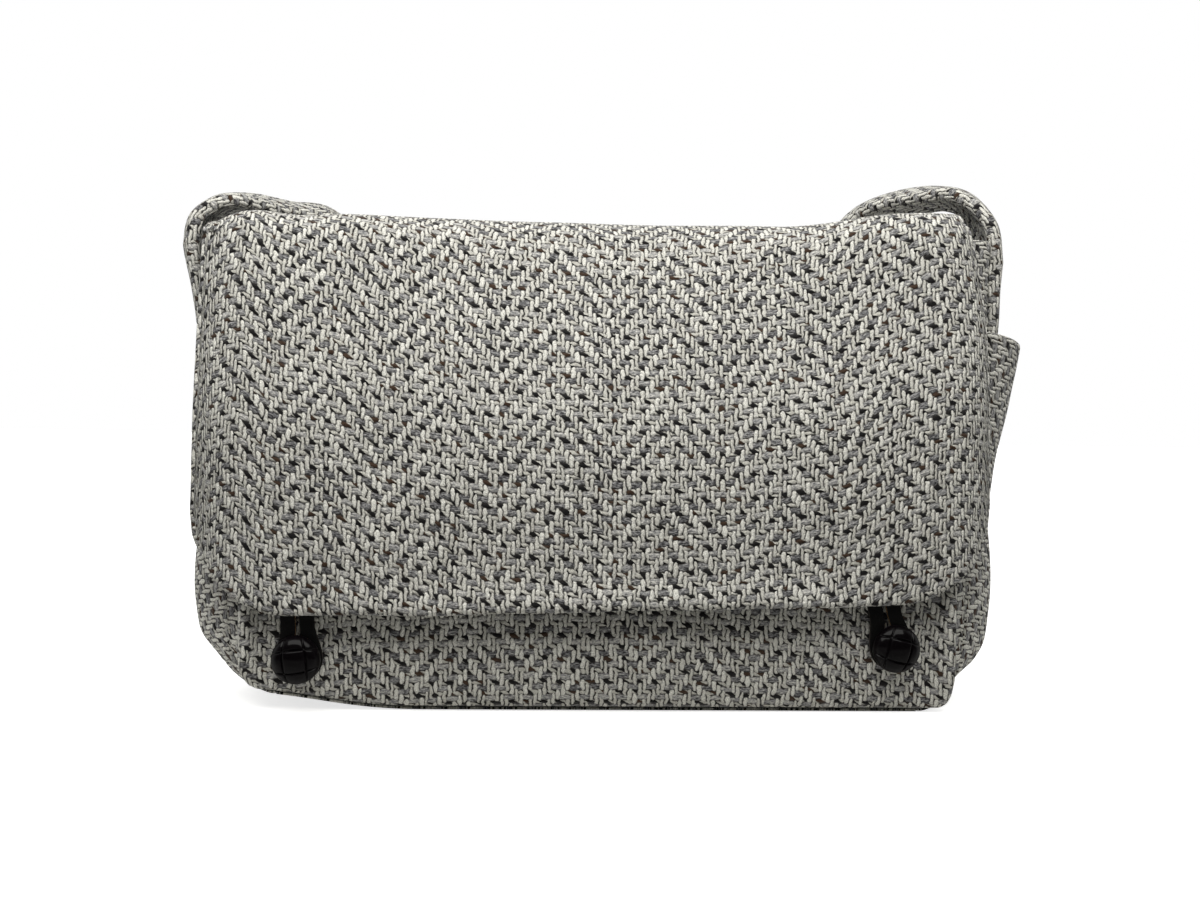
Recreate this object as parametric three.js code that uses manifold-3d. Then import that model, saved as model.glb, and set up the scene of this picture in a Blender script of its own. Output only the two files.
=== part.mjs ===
// A soft tweed satchel with a flap, two side pockets, a shoulder strap and two button-and-loop closures.
// Millimetres. +X is the bag's right as seen from the front, +Y is its back, +Z is up.
// The bag stands on the floor at Z = 0 and the origin is the middle of its flat base.
import * as THREE from "three";
import { mergeVertices } from "three/addons/utils/BufferGeometryUtils.js";
import Module from "manifold-3d";

const solids = await Module();
solids.setup();

// Sizes of the body
const PANEL_WIDTH = 294; // front and back panels, seam to seam
const FRONT_HEIGHT = 198; // front panel, floor to mouth
const BACK_HEIGHT = 207; // back panel, floor to the flap's seam
const BODY_DEPTH = 90; // fullest front to fullest back
const CORNER_RADIUS = 12; // lower corners of both panels
const GUSSET_HEIGHT = 195; // floor to the gusset's top hem
const GUSSET_BULGE = 24; // how far a gusset swells past the panels' edges

// Thicknesses and fits
const CLOTH = 2.6; // tweed with its interlining
const LINING = 0.8;
const BOARD = 1.5;
const SEAM_GAP = 0.4; // left between pieces that are sewn together
const LINING_EASE = 0.7; // left between a curved piece and its lining
const BOARD_INSET = 6; // the board stops this far inside the base panel's ends

// Sizes of the flap
const FLAP_WIDTH = 330;
const FLAP_SEAM_WIDTH = 286; // where it is sewn to the back panel
const FLAP_SHIFT = -3; // it hangs this far off the middle
const FLAP_HEM = 44; // height of its hem above the floor
const FLAP_CORNER = 40; // rounding of its lower corners
const FLAP_TILT = 0.025; // rise of its hem, and of the buttons, per millimetre to the right
const FLAP_HEM_GAP = 5; // it stands off the front panel by this at the hem
const FLAP_TOP_GAP = 3; // and by this at the mouth
const FLAP_EDGE_DROP = 6; // its side edges fall back by this

// Sizes of the side pockets
const POCKET_FOOT = 20; // from the base panel's end up the gusset to the pockets' lower seam
const POCKET_SLACK_FROM = 80; // above this height a pocket stands off its gusset
const RIGHT_POCKET_GAPE = 16; // the right pocket hangs open
const LEFT_POCKET_GAPE = 1.5; // the left pocket lies flat

// Sizes of the closures
const BUTTON_DIAMETER = 20;
const BUTTON_RISE = 8.5; // height of the woven dome
const BUTTON_SPACING = 247;
const BUTTON_SHIFT = -1.5; // the pair sits this far off the middle, as the flap does
const BUTTON_HEIGHT = 26; // of the button's middle above the floor
const BUTTON_CELL = 8.6; // width of the leather strip that crosses the dome's middle
const WEAVE_GROOVE = 0.7; // width and depth of the grooves between the strips
const SHANK_DIAMETER = 4.4;
const THREAD_DIAMETER = 2.2;
const LOOP_LEG = 6;
const LOOP_SLIT = 1.2;
const LOOP_THICKNESS = 1.6;
const LOOP_FIT = 1.2; // free room between a shank and the eye of its loop
const BUTTON_STANDOFF = 5; // from the front panel to the back of the button's head
const LOOP_LENGTH = 48; // from the middle of the eye to the sewn end
const RIGHT_LOOP_LEAN = 12; // degrees, its sewn end towards the bag's left
const LEFT_LOOP_LEAN = 4; // and so does the left loop, a little

// Sizes of the shoulder strap
const STRAP_WIDTH = 40;
const STRAP_THICKNESS = 4;
const STRAP_SEWN = 34; // length sewn on each gusset
const STRAP_TO_POCKET = 1; // from its sewn end down to the pocket's mouth
const STRAP_BEHIND = 4; // it hangs this far behind the back panel
const STRAP_LEG_X = 104; // where its legs hang, from the bag's middle
const STRAP_RIGHT_ARCH = 36; // how far the strap rises above the right gusset
const STRAP_LEFT_ARCH = 22; // and above the left gusset, where it lies lower
const STRAP_LEFT_BOW = 3.5; // and bows out from its seam
const STRAP_SPLIT_HEIGHT = 180; // height where the hanging part begins
const STRAP_TURN = 26; // inner radius of its lower turns
const STRAP_FLOOR = 0.4; // it just clears the floor
const STRAP_BREAK_GAP = 0.8; // left between the sewn ends and the hanging part

const halfPanel = PANEL_WIDTH / 2;
const halfDepth = BODY_DEPTH / 2;
const flapBuild = CLOTH + LINING_EASE + LINING; // the flap's whole thickness

// Materials
const tweed = new THREE.MeshStandardMaterial({ color: 0x8d8781, roughness: 0.95, metalness: 0 });
const liningCloth = new THREE.MeshStandardMaterial({ color: 0x4a3f38, roughness: 0.8, metalness: 0 });
const fibreboard = new THREE.MeshStandardMaterial({ color: 0x8a7355, roughness: 0.9, metalness: 0 });
const blackLeather = new THREE.MeshStandardMaterial({ color: 0x1c1a1b, roughness: 0.5, metalness: 0 });
const brownLeather = new THREE.MeshStandardMaterial({ color: 0x2e2021, roughness: 0.3, metalness: 0 });
const thread = new THREE.MeshStandardMaterial({ color: 0x2a2624, roughness: 0.9, metalness: 0 });

const part = new THREE.Group();

function add(name, geometry, material) {
  const mesh = new THREE.Mesh(geometry, material);
  mesh.name = name;
  part.add(mesh);
}

const lerp = THREE.MathUtils.lerp;
const clamp = THREE.MathUtils.clamp;
const smooth = THREE.MathUtils.smoothstep;

// A smooth curve through [place, value] pairs, level beyond its ends.
function profile(points) {
  const slope = (i) => {
    const a = points[Math.max(i - 1, 0)];
    const b = points[Math.min(i + 1, points.length - 1)];
    return (b[1] - a[1]) / (b[0] - a[0]);
  };
  return (place) => {
    let i = 0;
    while (i < points.length - 2 && place > points[i + 1][0]) i += 1;
    const [start, from] = points[i];
    const [end, to] = points[i + 1];
    const span = end - start;
    const k = clamp((place - start) / span, 0, 1);
    const bend = k * (1 - k) * span;
    const straight = lerp(from, to, k * k * (3 - 2 * k));
    return straight + bend * ((1 - k) * slope(i) - k * slope(i + 1));
  };
}

// A closed solid that lies between two depths below a curved surface. surface(u, v) gives its points
// for u and v from 0 to 1, with u turned to v anticlockwise as seen from outside.
function sheet(surface, columns, rows, from, to) {
  const step = 1e-3;
  const outward = (u, v) => {
    const along = surface(Math.min(u + step, 1), v).sub(surface(Math.max(u - step, 0), v));
    const up = surface(u, Math.min(v + step, 1)).sub(surface(u, Math.max(v - step, 0)));
    return along.cross(up).normalize();
  };
  const points = [];
  for (const depth of [from, to]) {
    for (let j = 0; j <= rows; j += 1) {
      for (let i = 0; i <= columns; i += 1) {
        const u = i / columns;
        const v = j / rows;
        points.push(surface(u, v).addScaledVector(outward(u, v), -depth));
      }
    }
  }
  const width = columns + 1;
  const under = width * (rows + 1);
  const faces = [];
  const quad = (a, b, c, d) => faces.push(a, b, c, a, c, d);
  for (let j = 0; j < rows; j += 1) {
    for (let i = 0; i < columns; i += 1) {
      const a = j * width + i;
      quad(a, a + 1, a + 1 + width, a + width);
      quad(under + a, under + a + width, under + a + 1 + width, under + a + 1);
    }
  }
  const wall = (a, b) => quad(b, a, under + a, under + b);
  for (let i = 0; i < columns; i += 1) {
    wall(i, i + 1);
    wall(rows * width + i + 1, rows * width + i);
  }
  for (let j = 0; j < rows; j += 1) {
    wall((j + 1) * width, j * width);
    wall(j * width + columns, (j + 1) * width + columns);
  }
  const geometry = new THREE.BufferGeometry().setFromPoints(points);
  geometry.setIndex(faces);
  return geometry;
}

// The same surface on the bag's left side.
function mirrored(surface) {
  return (u, v) => {
    const point = surface(1 - u, v);
    point.x = -point.x;
    return point;
  };
}

// The body's form: depth of each panel over its height, as shares of half the body's depth.
// The stuffed front bulges low down and leans back to a pinched mouth, more in the middle than at the ends.
const frontMiddle = profile([
  [0, -0.84],
  [0.04, -0.93],
  [0.125, -1],
  [0.3, -0.97],
  [0.55, -0.78],
  [0.75, -0.5],
  [0.9, -0.2],
  [1, 0.02],
]);
const frontEnd = profile([
  [0, -0.84],
  [0.05, -0.86],
  [0.15, -0.87],
  [0.3, -0.87],
  [0.55, -0.82],
  [0.75, -0.71],
  [0.9, -0.6],
  [1, -0.51],
]);
const backMiddle = profile([
  [0, 0.78],
  [0.05, 0.9],
  [0.15, 0.98],
  [0.5, 1],
  [0.8, 0.9],
  [1, 0.755],
]);
const backEnd = profile([
  [0, 0.78],
  [0.05, 0.84],
  [0.15, 0.87],
  [0.5, 0.88],
  [0.8, 0.83],
  [1, 0.755],
]);

function between(middle, end, x, share) {
  const nearEnd = Math.min(Math.abs(x) / halfPanel, 1) ** 2;
  return halfDepth * lerp(middle(share), end(share), nearEnd);
}

const frontY = (x, z) => between(frontMiddle, frontEnd, x, z / FRONT_HEIGHT);
const backY = (x, z) => between(backMiddle, backEnd, x, z / BACK_HEIGHT);

// Half the width of a panel at a height, with its rounded lower corners.
function halfWidth(z) {
  const below = Math.max(CORNER_RADIUS - z, 0);
  return halfPanel - CORNER_RADIUS + Math.sqrt(CORNER_RADIUS ** 2 - below ** 2);
}

// Runs from -1 to 1 with its steps closer together near the ends.
const acrossWidth = (u) => Math.sin(Math.PI * (u - 0.5));

function panel(depthAt, height, side) {
  return (u, v) => {
    const z = height * v ** 1.6;
    const x = side * acrossWidth(u) * halfWidth(z);
    return new THREE.Vector3(x, depthAt(x, z), z);
  };
}

// A cloth piece and its lining share one grid, and the lining stops some steps short of the edges.
function lined(name, surface, columns, rows, [side, bottom, top]) {
  const inner = (u, v) => surface(
    lerp(side, columns - side, u) / columns,
    lerp(bottom, rows - top, v) / rows,
  );
  const liningFrom = CLOTH + LINING_EASE;
  add(name, sheet(surface, columns, rows, 0, CLOTH), tweed);
  add(
    `${name.replace("_panel", "")}_lining`,
    sheet(inner, columns - 2 * side, rows - bottom - top, liningFrom, liningFrom + LINING),
    liningCloth,
  );
}

lined("front_panel", panel(frontY, FRONT_HEIGHT, 1), 16, 14, [1, 2, 0]);
lined("back_panel", panel(backY, BACK_HEIGHT, -1), 16, 14, [1, 2, 1]);

// Gussets: each follows the panels' edge from the base round the lower corner and up the side,
// and swells outward between its two seams.
const cornerLength = (CORNER_RADIUS * Math.PI) / 2;
const gussetLength = cornerLength + GUSSET_HEIGHT - CORNER_RADIUS;
const gussetSwell = profile([
  [0, 0],
  [0.02, 0.15],
  [0.055, 0.36],
  [0.09, 0.58],
  [0.13, 0.78],
  [0.17, 0.92],
  [0.215, 1],
  [0.3, 1.02],
  [0.55, 0.88],
  [0.83, 0.97],
  [1, 1.1],
]);

// Where on a gusset's length a height is, above the corner.
const gussetAt = (z) => (z - CORNER_RADIUS + cornerLength) / gussetLength;

function gussetPoint(across, along) {
  const length = along * gussetLength;
  const angle = Math.min(length / CORNER_RADIUS, Math.PI / 2) - Math.PI / 2;
  const x = halfPanel - CORNER_RADIUS + CORNER_RADIUS * Math.cos(angle);
  const arcZ = CORNER_RADIUS + CORNER_RADIUS * Math.sin(angle);
  const z = arcZ + Math.max(length - cornerLength, 0);
  const front = frontY(x, z) + CLOTH + SEAM_GAP;
  const back = backY(x, z) - CLOTH - SEAM_GAP;
  const flatness = lerp(2.4, 5, smooth(along, 0.5, 1));
  const swell = (1 - Math.abs(2 * across - 1) ** flatness) ** 0.6;
  const bulge = GUSSET_BULGE * gussetSwell(along) * swell;
  return new THREE.Vector3(
    Math.max(x, halfPanel - CORNER_RADIUS + SEAM_GAP) + bulge * Math.cos(angle * 0.35),
    lerp(front, back, across),
    Math.max(z + bulge * Math.sin(angle * 0.1), 0.2),
  );
}

const spread = (u) => 0.5 - 0.5 * Math.cos(Math.PI * u);
const gusset = (u, v) => gussetPoint(spread(u), v ** 1.5);
const bothSides = [
  ["right", (surface) => surface],
  ["left", mirrored],
];
for (const [side, turned] of bothSides) {
  lined(`${side}_gusset`, turned(gusset), 10, 14, [1, 3, 1]);
}

// Base: cloth, stiffening board and lining, one on another.
function plate(width, front, back, bottom, thickness) {
  const box = new THREE.BoxGeometry(width, back - front, thickness);
  return box.translate(0, (front + back) / 2, bottom + thickness / 2);
}

const baseFront = frontY(0, 0) + CLOTH + SEAM_GAP;
const baseBack = backY(0, 0) - CLOTH - SEAM_GAP;
const baseWidth = PANEL_WIDTH - 2 * CORNER_RADIUS;
const boardBottom = CLOTH + SEAM_GAP;
const baseLiningBottom = boardBottom + BOARD + SEAM_GAP;
const boardEdge = SEAM_GAP + 2 * LINING;
const boardWidth = baseWidth - 2 * BOARD_INSET;
add("base_panel", plate(baseWidth, baseFront, baseBack, 0, CLOTH), tweed);
add("base_board", plate(boardWidth, baseFront + boardEdge, baseBack - boardEdge, boardBottom, BOARD), fibreboard);
add(
  "base_lining",
  plate(boardWidth, baseFront + boardEdge, baseBack - boardEdge, baseLiningBottom, LINING),
  liningCloth,
);

// A point that stands off a gusset by a given distance.
function offGusset(across, along, away) {
  const step = 1e-3;
  const toBack = gussetPoint(across + step, along).sub(gussetPoint(across - step, along));
  const toTop = gussetPoint(across, along).sub(gussetPoint(across, along - step));
  return gussetPoint(across, along).addScaledVector(toBack.cross(toTop).normalize(), away);
}

// Side pockets: each lies on its gusset and stands off it towards the open mouth.
function pocket(gape) {
  const mouth = gussetAt(GUSSET_HEIGHT - STRAP_SEWN - STRAP_TO_POCKET);
  const slackFrom = gussetAt(POCKET_SLACK_FROM);
  return (u, v) => {
    const along = lerp(POCKET_FOOT / gussetLength, mouth, v ** 1.6);
    const slack = clamp((along - slackFrom) / (mouth - slackFrom), 0, 1);
    const away = LINING_EASE + CLOTH + gape * slack * Math.sin(Math.PI * u) ** 0.8;
    return offGusset(lerp(0.1, 0.9, u), along, away);
  };
}

add("right_pocket", sheet(pocket(RIGHT_POCKET_GAPE), 10, 12, 0, CLOTH), tweed);
add("left_pocket", sheet(mirrored(pocket(LEFT_POCKET_GAPE)), 10, 12, 0, CLOTH), tweed);

// Flap: at each width it runs from its hem up the front panel, over the mouth and back to its seam.
const hingeY = backY(0, BACK_HEIGHT);
const hingeZ = BACK_HEIGHT + SEAM_GAP + flapBuild;

function flapCurve(x) {
  const nearEnd = Math.min(Math.abs(x) / halfPanel, 1) ** 2;
  const points = [];
  const stations = 7;
  for (let i = 0; i < stations; i += 1) {
    const k = i / (stations - 1);
    const z = lerp(FLAP_HEM + x * FLAP_TILT, FRONT_HEIGHT, k);
    const lean = Math.atan((frontY(x, z + 1) - frontY(x, z - 1)) / 2);
    const away = flapBuild + lerp(FLAP_HEM_GAP, FLAP_TOP_GAP, k);
    points.push(new THREE.Vector2(frontY(x, z) - away * Math.cos(lean), z + away * Math.sin(lean)));
  }
  const top = points[stations - 1];
  const rise = hingeZ - top.y;
  const crown = [
    [lerp(0.15, 0.06, nearEnd), 0.45],
    [lerp(0.36, 0.2, nearEnd), 0.83],
    [0.68, 1],
    [1, 1],
  ];
  for (const [back, up] of crown) {
    points.push(new THREE.Vector2(lerp(top.x, hingeY, back), top.y + rise * up));
  }
  return new THREE.SplineCurve(points);
}

// How much of its length the flap loses to its rounded lower corners.
function cornerRise(x) {
  const past = clamp((Math.abs(x) - (FLAP_WIDTH / 2 - FLAP_CORNER)) / FLAP_CORNER, 0, 1);
  return FLAP_CORNER * (1 - Math.sqrt(1 - past * past));
}

const flapCurves = new Map();

function flap(u, v) {
  const share = acrossWidth(u);
  const x = (share * FLAP_WIDTH) / 2;
  if (!flapCurves.has(u)) flapCurves.set(u, flapCurve(x));
  const curve = flapCurves.get(u);
  const start = cornerRise(x) / curve.getLength();
  const place = clamp(lerp(start, 1, v), 0, 1);
  const point = curve.getPointAt(place);
  const tangent = curve.getTangentAt(place);
  const toSeam = smooth(place, 0.48, 1);
  const half = lerp(FLAP_WIDTH, FLAP_SEAM_WIDTH, toSeam) / 2;
  const across = share * half + FLAP_SHIFT * (1 - toSeam);
  const overhang = clamp((Math.abs(across) - halfPanel) / (FLAP_WIDTH / 2 - halfPanel), 0, 1);
  const drop = FLAP_EDGE_DROP * overhang * overhang * (1 - toSeam);
  return new THREE.Vector3(across, point.x + tangent.y * drop, point.y - tangent.x * drop);
}

lined("flap_panel", flap, 16, 20, [1, 1, 0]);

// Closures: a flat loop hangs from under the hem, and its eye goes round the shank of a button.
function toSolid(geometry) {
  const bare = geometry.index ? geometry.toNonIndexed() : geometry.clone();
  for (const name of Object.keys(bare.attributes)) {
    if (name !== "position") bare.deleteAttribute(name);
  }
  const merged = mergeVertices(bare, 1e-4);
  const index = merged.index.array;
  const faces = [];
  for (let i = 0; i < index.length; i += 3) {
    const [a, b, c] = [index[i], index[i + 1], index[i + 2]];
    if (a !== b && b !== c && c !== a) faces.push(a, b, c);
  }
  const mesh = new solids.Mesh({
    numProp: 3,
    vertProperties: new Float32Array(merged.attributes.position.array),
    triVerts: new Uint32Array(faces),
  });
  return new solids.Manifold(mesh);
}

function toGeometry(solid) {
  const mesh = solid.getMesh();
  const geometry = new THREE.BufferGeometry();
  geometry.setAttribute("position", new THREE.BufferAttribute(new Float32Array(mesh.vertProperties), 3));
  geometry.setIndex(new THREE.BufferAttribute(new Uint32Array(mesh.triVerts), 1));
  return geometry;
}

// A dome on the plane Y = 0, rising along +Y.
function dome(radius, rise) {
  const points = [new THREE.Vector2(0, 0), new THREE.Vector2(radius * 0.62, 0)];
  const steps = 7;
  const rim = rise * 0.3;
  points.push(new THREE.Vector2(radius * 0.9, rim * 0.35));
  for (let i = 0; i < steps; i += 1) {
    const angle = (i / steps) * (Math.PI / 2);
    points.push(new THREE.Vector2(radius * Math.cos(angle), rim + (rise - rim) * Math.sin(angle)));
  }
  points.push(new THREE.Vector2(0, rise));
  return new THREE.LatheGeometry(points, 24);
}

// The woven head: five leather strips cross in a pinwheel, and grooves between them are cut into the dome.
function buttonHead() {
  const radius = BUTTON_DIAMETER / 2;
  const core = toSolid(dome(radius - WEAVE_GROOVE, BUTTON_RISE - WEAVE_GROOVE));
  let head = toSolid(dome(radius, BUTTON_RISE));
  const reach = radius + BUTTON_CELL / 2 + 1;
  for (let quarter = 0; quarter < 4; quarter += 1) {
    const groove = new THREE.BoxGeometry(WEAVE_GROOVE, 2 * BUTTON_RISE, reach);
    groove.translate(BUTTON_CELL / 2, BUTTON_RISE * 1.3, reach / 2 - BUTTON_CELL / 2);
    groove.rotateY((quarter * Math.PI) / 2);
    head = head.subtract(toSolid(groove).subtract(core));
  }
  return toGeometry(head);
}

// The flat loop, lying in XY with the middle of its eye at the origin and its sewn end at the top.
function loopShape() {
  const eye = SHANK_DIAMETER / 2 + LOOP_FIT;
  const outer = eye + LOOP_LEG;
  const half = LOOP_LEG + LOOP_SLIT / 2;
  const neck = outer * 1.9;
  const shape = new THREE.Shape();
  shape.moveTo(half, LOOP_LENGTH);
  shape.lineTo(-half, LOOP_LENGTH);
  shape.lineTo(-half, neck);
  shape.bezierCurveTo(-half, neck * 0.6, -outer, outer * 0.7, -outer, 0);
  shape.absarc(0, 0, outer, Math.PI, 2 * Math.PI, false);
  shape.bezierCurveTo(outer, outer * 0.7, half, neck * 0.6, half, neck);
  shape.closePath();
  const slit = new THREE.Path();
  const slitTop = LOOP_LENGTH - LOOP_LEG;
  slit.moveTo(LOOP_SLIT / 2, slitTop);
  slit.lineTo(LOOP_SLIT / 2, neck);
  slit.bezierCurveTo(LOOP_SLIT / 2, neck * 0.6, eye, eye * 1.6, eye, 0);
  slit.absarc(0, 0, eye, 0, -Math.PI, true);
  slit.bezierCurveTo(-eye, eye * 1.6, -LOOP_SLIT / 2, neck * 0.6, -LOOP_SLIT / 2, neck);
  slit.lineTo(-LOOP_SLIT / 2, slitTop);
  slit.closePath();
  shape.holes.push(slit);
  return shape;
}

function rod(diameter, from, to) {
  return new THREE.CylinderGeometry(diameter / 2, diameter / 2, to - from, 16).translate(0, (from + to) / 2, 0);
}

for (const [side, sign, lean] of [["right", 1, RIGHT_LOOP_LEAN], ["left", -1, LEFT_LOOP_LEAN]]) {
  const x = (sign * BUTTON_SPACING) / 2 + BUTTON_SHIFT;
  const z = BUTTON_HEIGHT + x * FLAP_TILT;
  const panelY = frontY(x, z);
  const loopTopZ = z + LOOP_LENGTH;
  const liningY = frontY(x, loopTopZ) - lerp(FLAP_HEM_GAP, FLAP_TOP_GAP, 0.17);
  const loopTopY = liningY + 2 * SEAM_GAP + LOOP_THICKNESS / 2;
  const headY = panelY - BUTTON_STANDOFF;
  const loopY = (panelY + headY) / 2;
  const place = (geometry) => geometry.rotateX(Math.PI).translate(x, 0, z);

  const loop = new THREE.ExtrudeGeometry(loopShape(), {
    depth: LOOP_THICKNESS,
    bevelEnabled: false,
    curveSegments: 8,
  });
  loop.translate(0, 0, -LOOP_THICKNESS / 2);
  loop.rotateZ(THREE.MathUtils.degToRad(lean));
  loop.rotateX(Math.PI / 2 + Math.atan2(loopY - loopTopY, LOOP_LENGTH));
  loop.translate(x, loopY, z);
  add(`${side}_loop`, loop, blackLeather);

  add(`${side}_button_head`, place(buttonHead()).translate(0, headY, 0), brownLeather);
  const stem = rod(THREAD_DIAMETER, SEAM_GAP - panelY, -loopY - SEAM_GAP / 2);
  add(`${side}_button_thread`, place(stem), thread);
  const shank = rod(SHANK_DIAMETER, SEAM_GAP / 2 - loopY, -headY - SEAM_GAP);
  add(`${side}_button_shank`, place(shank), brownLeather);
}

// Shoulder strap: sewn on the gusset's outside, it arches back over the top corner and hangs behind the bag.
const strapCentre = 0.5;
const strapTopY = gussetPoint(strapCentre, 1).y;
const gussetTopDepth = gussetPoint(1, 1).y - gussetPoint(0, 1).y;
const strapShare = Math.min(STRAP_WIDTH / gussetTopDepth, 0.84);

function sewnStrap(u, z, bow) {
  const away = LINING_EASE + STRAP_THICKNESS + bow * smooth(z, GUSSET_HEIGHT - STRAP_SEWN, GUSSET_HEIGHT);
  return offGusset(strapCentre + (u - 0.5) * strapShare, gussetAt(z), away);
}

const sewnTop = sewnStrap(0.5, GUSSET_HEIGHT, 0);
const legY = halfDepth + STRAP_BEHIND + STRAP_WIDTH / 2;
const legX = STRAP_LEG_X;
const turnZ = STRAP_FLOOR + STRAP_THICKNESS + STRAP_TURN;
const archX = sewnTop.x - legX;
const archY = legY - strapTopY;

// Places along the right half of the strap's middle and the direction of its width there:
// over the arch, and then down the leg from the split to the turn. The arch's last two heights are falls,
// as shares of its rise.
function archStations(rise, bow, falls) {
  const [x, y, z] = [sewnTop.x + bow, strapTopY, sewnTop.z];
  return [
    [[x, y, z], [0, 1, 0]],
    [[x, y + archY * 0.03, z + rise * 0.39], [0.1, 0.86, -0.5]],
    [[x - archX * 0.06, y + archY * 0.26, z + rise * 0.8], [0.5, 0.7, -0.5]],
    [[x - archX * 0.19, y + archY * 0.52, z + rise], [0.6, 0.75, -0.25]],
    [[x - archX * 0.42, y + archY * 0.78, z + rise * 0.97], [0.65, 0.75, 0]],
    [[x - archX * 0.63, y + archY * 0.92, z + rise * falls[0]], [0.6, 0.8, 0.05]],
    [[x - archX * 0.79, y + archY * 0.98, z + rise * falls[1]], [0.5, 0.87, 0]],
  ];
}

const legStations = [
  [[legX + archX * 0.11, legY, STRAP_SPLIT_HEIGHT], [0.4, 0.92, 0]],
  [[legX + archX * 0.04, legY, lerp(STRAP_SPLIT_HEIGHT, turnZ, 0.3)], [0.25, 0.97, 0]],
  [[legX, legY, lerp(STRAP_SPLIT_HEIGHT, turnZ, 0.65)], [0.1, 1, 0]],
  [[legX, legY, turnZ], [0, 1, 0]],
];
const splitStation = archStations(0, 0, [0, 0]).length;
const lastStation = splitStation + legStations.length - 1;
const legLength = STRAP_SPLIT_HEIGHT - turnZ;
const breakStations = ((lastStation - splitStation) * STRAP_BREAK_GAP) / legLength;

// One side of the strap: its middle, width and outer face at a place counted in stations.
function strapSide(rise, bow, falls) {
  const stations = [...archStations(rise, bow, falls), ...legStations];
  const middle = new THREE.CatmullRomCurve3(stations.map(([place]) => new THREE.Vector3(...place)));
  const at = (station) => {
    const i = Math.min(Math.floor(station), lastStation - 1);
    const next = new THREE.Vector3(...stations[i + 1][1]);
    const width = new THREE.Vector3(...stations[i][1]).lerp(next, station - i);
    const heading = middle.getTangent(station / lastStation);
    width.addScaledVector(heading, -width.dot(heading)).normalize();
    return { point: middle.getPoint(station / lastStation), width, face: width.clone().cross(heading) };
  };
  const on = (station, u) => {
    const { point, width } = at(station);
    return point.addScaledVector(width, (u - 0.5) * STRAP_WIDTH);
  };
  const end = (u, v) => {
    const sewnShare = 0.25;
    if (v <= sewnShare) {
      return sewnStrap(u, lerp(GUSSET_HEIGHT - STRAP_SEWN, GUSSET_HEIGHT, v / sewnShare), bow);
    }
    const station = (splitStation * (v - sewnShare)) / (1 - sewnShare);
    const hugging = sewnTop.x - sewnStrap(u, GUSSET_HEIGHT, 0).x;
    const flattened = smooth(station, 0, splitStation / 2);
    return on(station, u).addScaledVector(at(station).face, -hugging * (1 - flattened));
  };
  return { on, end };
}

const rightStrap = strapSide(STRAP_RIGHT_ARCH, 0, [0.8, 0.4]);
const leftStrap = strapSide(STRAP_LEFT_ARCH, STRAP_LEFT_BOW, [0.92, 0.6]);

// From the right split down, round both lower turns and up to the left split.
function hangingStrap(u, v) {
  const legShare = 0.3;
  const turnShare = 0.12;
  const left = v > 0.5;
  const k = left ? 1 - v : v;
  let point;
  if (k <= legShare) {
    const station = lerp(splitStation + breakStations, lastStation, k / legShare);
    point = (left ? leftStrap : rightStrap).on(station, u);
  } else {
    const across = legY + (u - 0.5) * STRAP_WIDTH;
    const turn = clamp((k - legShare) / turnShare, 0, 1) * (Math.PI / 2);
    const floorShare = clamp((k - legShare - turnShare) / (0.5 - legShare - turnShare), 0, 1);
    const x = (legX - STRAP_TURN) * (1 - floorShare) + STRAP_TURN * Math.cos(turn);
    point = new THREE.Vector3(x, across, turnZ - STRAP_TURN * Math.sin(turn));
  }
  if (left) point.x = -point.x;
  return point;
}

add("right_strap_end", sheet(rightStrap.end, 8, 24, 0, STRAP_THICKNESS), tweed);
add("left_strap_end", sheet(mirrored(leftStrap.end), 8, 24, 0, STRAP_THICKNESS), tweed);
add("shoulder_strap", sheet(hangingStrap, 4, 50, 0, STRAP_THICKNESS), tweed);

export default part;
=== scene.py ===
# The looks of a soft tweed satchel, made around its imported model.
# Sizes are millimetres until a mesh is made. +X is the bag's right, +Y its back, +Z up.
import math

import bmesh
import bpy
from mathutils import Matrix, Vector, noise


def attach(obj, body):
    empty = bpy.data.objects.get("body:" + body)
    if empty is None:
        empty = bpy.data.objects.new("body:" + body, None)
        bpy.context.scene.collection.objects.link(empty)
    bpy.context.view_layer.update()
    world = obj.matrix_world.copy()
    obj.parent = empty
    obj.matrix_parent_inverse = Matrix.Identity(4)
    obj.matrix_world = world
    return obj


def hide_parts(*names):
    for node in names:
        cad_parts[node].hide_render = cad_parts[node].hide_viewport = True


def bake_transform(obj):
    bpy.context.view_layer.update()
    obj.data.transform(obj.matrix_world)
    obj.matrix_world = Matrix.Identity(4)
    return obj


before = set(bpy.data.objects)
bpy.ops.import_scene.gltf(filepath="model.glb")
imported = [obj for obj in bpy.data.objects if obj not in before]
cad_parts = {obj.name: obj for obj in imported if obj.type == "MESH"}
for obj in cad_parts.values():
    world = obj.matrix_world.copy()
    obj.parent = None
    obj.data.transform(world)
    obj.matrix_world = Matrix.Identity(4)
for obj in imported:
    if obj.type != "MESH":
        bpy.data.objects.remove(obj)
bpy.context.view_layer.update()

MM = 0.001

# Sizes of the body
PANEL_WIDTH = 294
FRONT_HEIGHT = 198
BACK_HEIGHT = 207
BODY_DEPTH = 90
CORNER_RADIUS = 12
RIGHT_CORNER = 9  # the front panel's lower right corner is a little sharper
GUSSET_HEIGHT = 195
GUSSET_BULGE = 24
GUSSET_EAR = 7  # how far a gusset's front top corner is pulled up by the strap
CORNER_LIFT = 7  # how far the bag's lower left front corner is pulled up
CORNER_TUCK = 0.6  # the share of its swell that the right gusset loses at its foot
CLOTH = 2.6
WEAVE_THICKNESS = 1.0  # of one layer, where an edge is turned under
LINING = 0.8
SEAM_GAP = 0.4
LINING_EASE = 0.7
BOARD = 1.5
BOARD_INSET = 6
EDGE_ROUNDING = 0.3  # of the board's and the loops' cut edges

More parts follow.
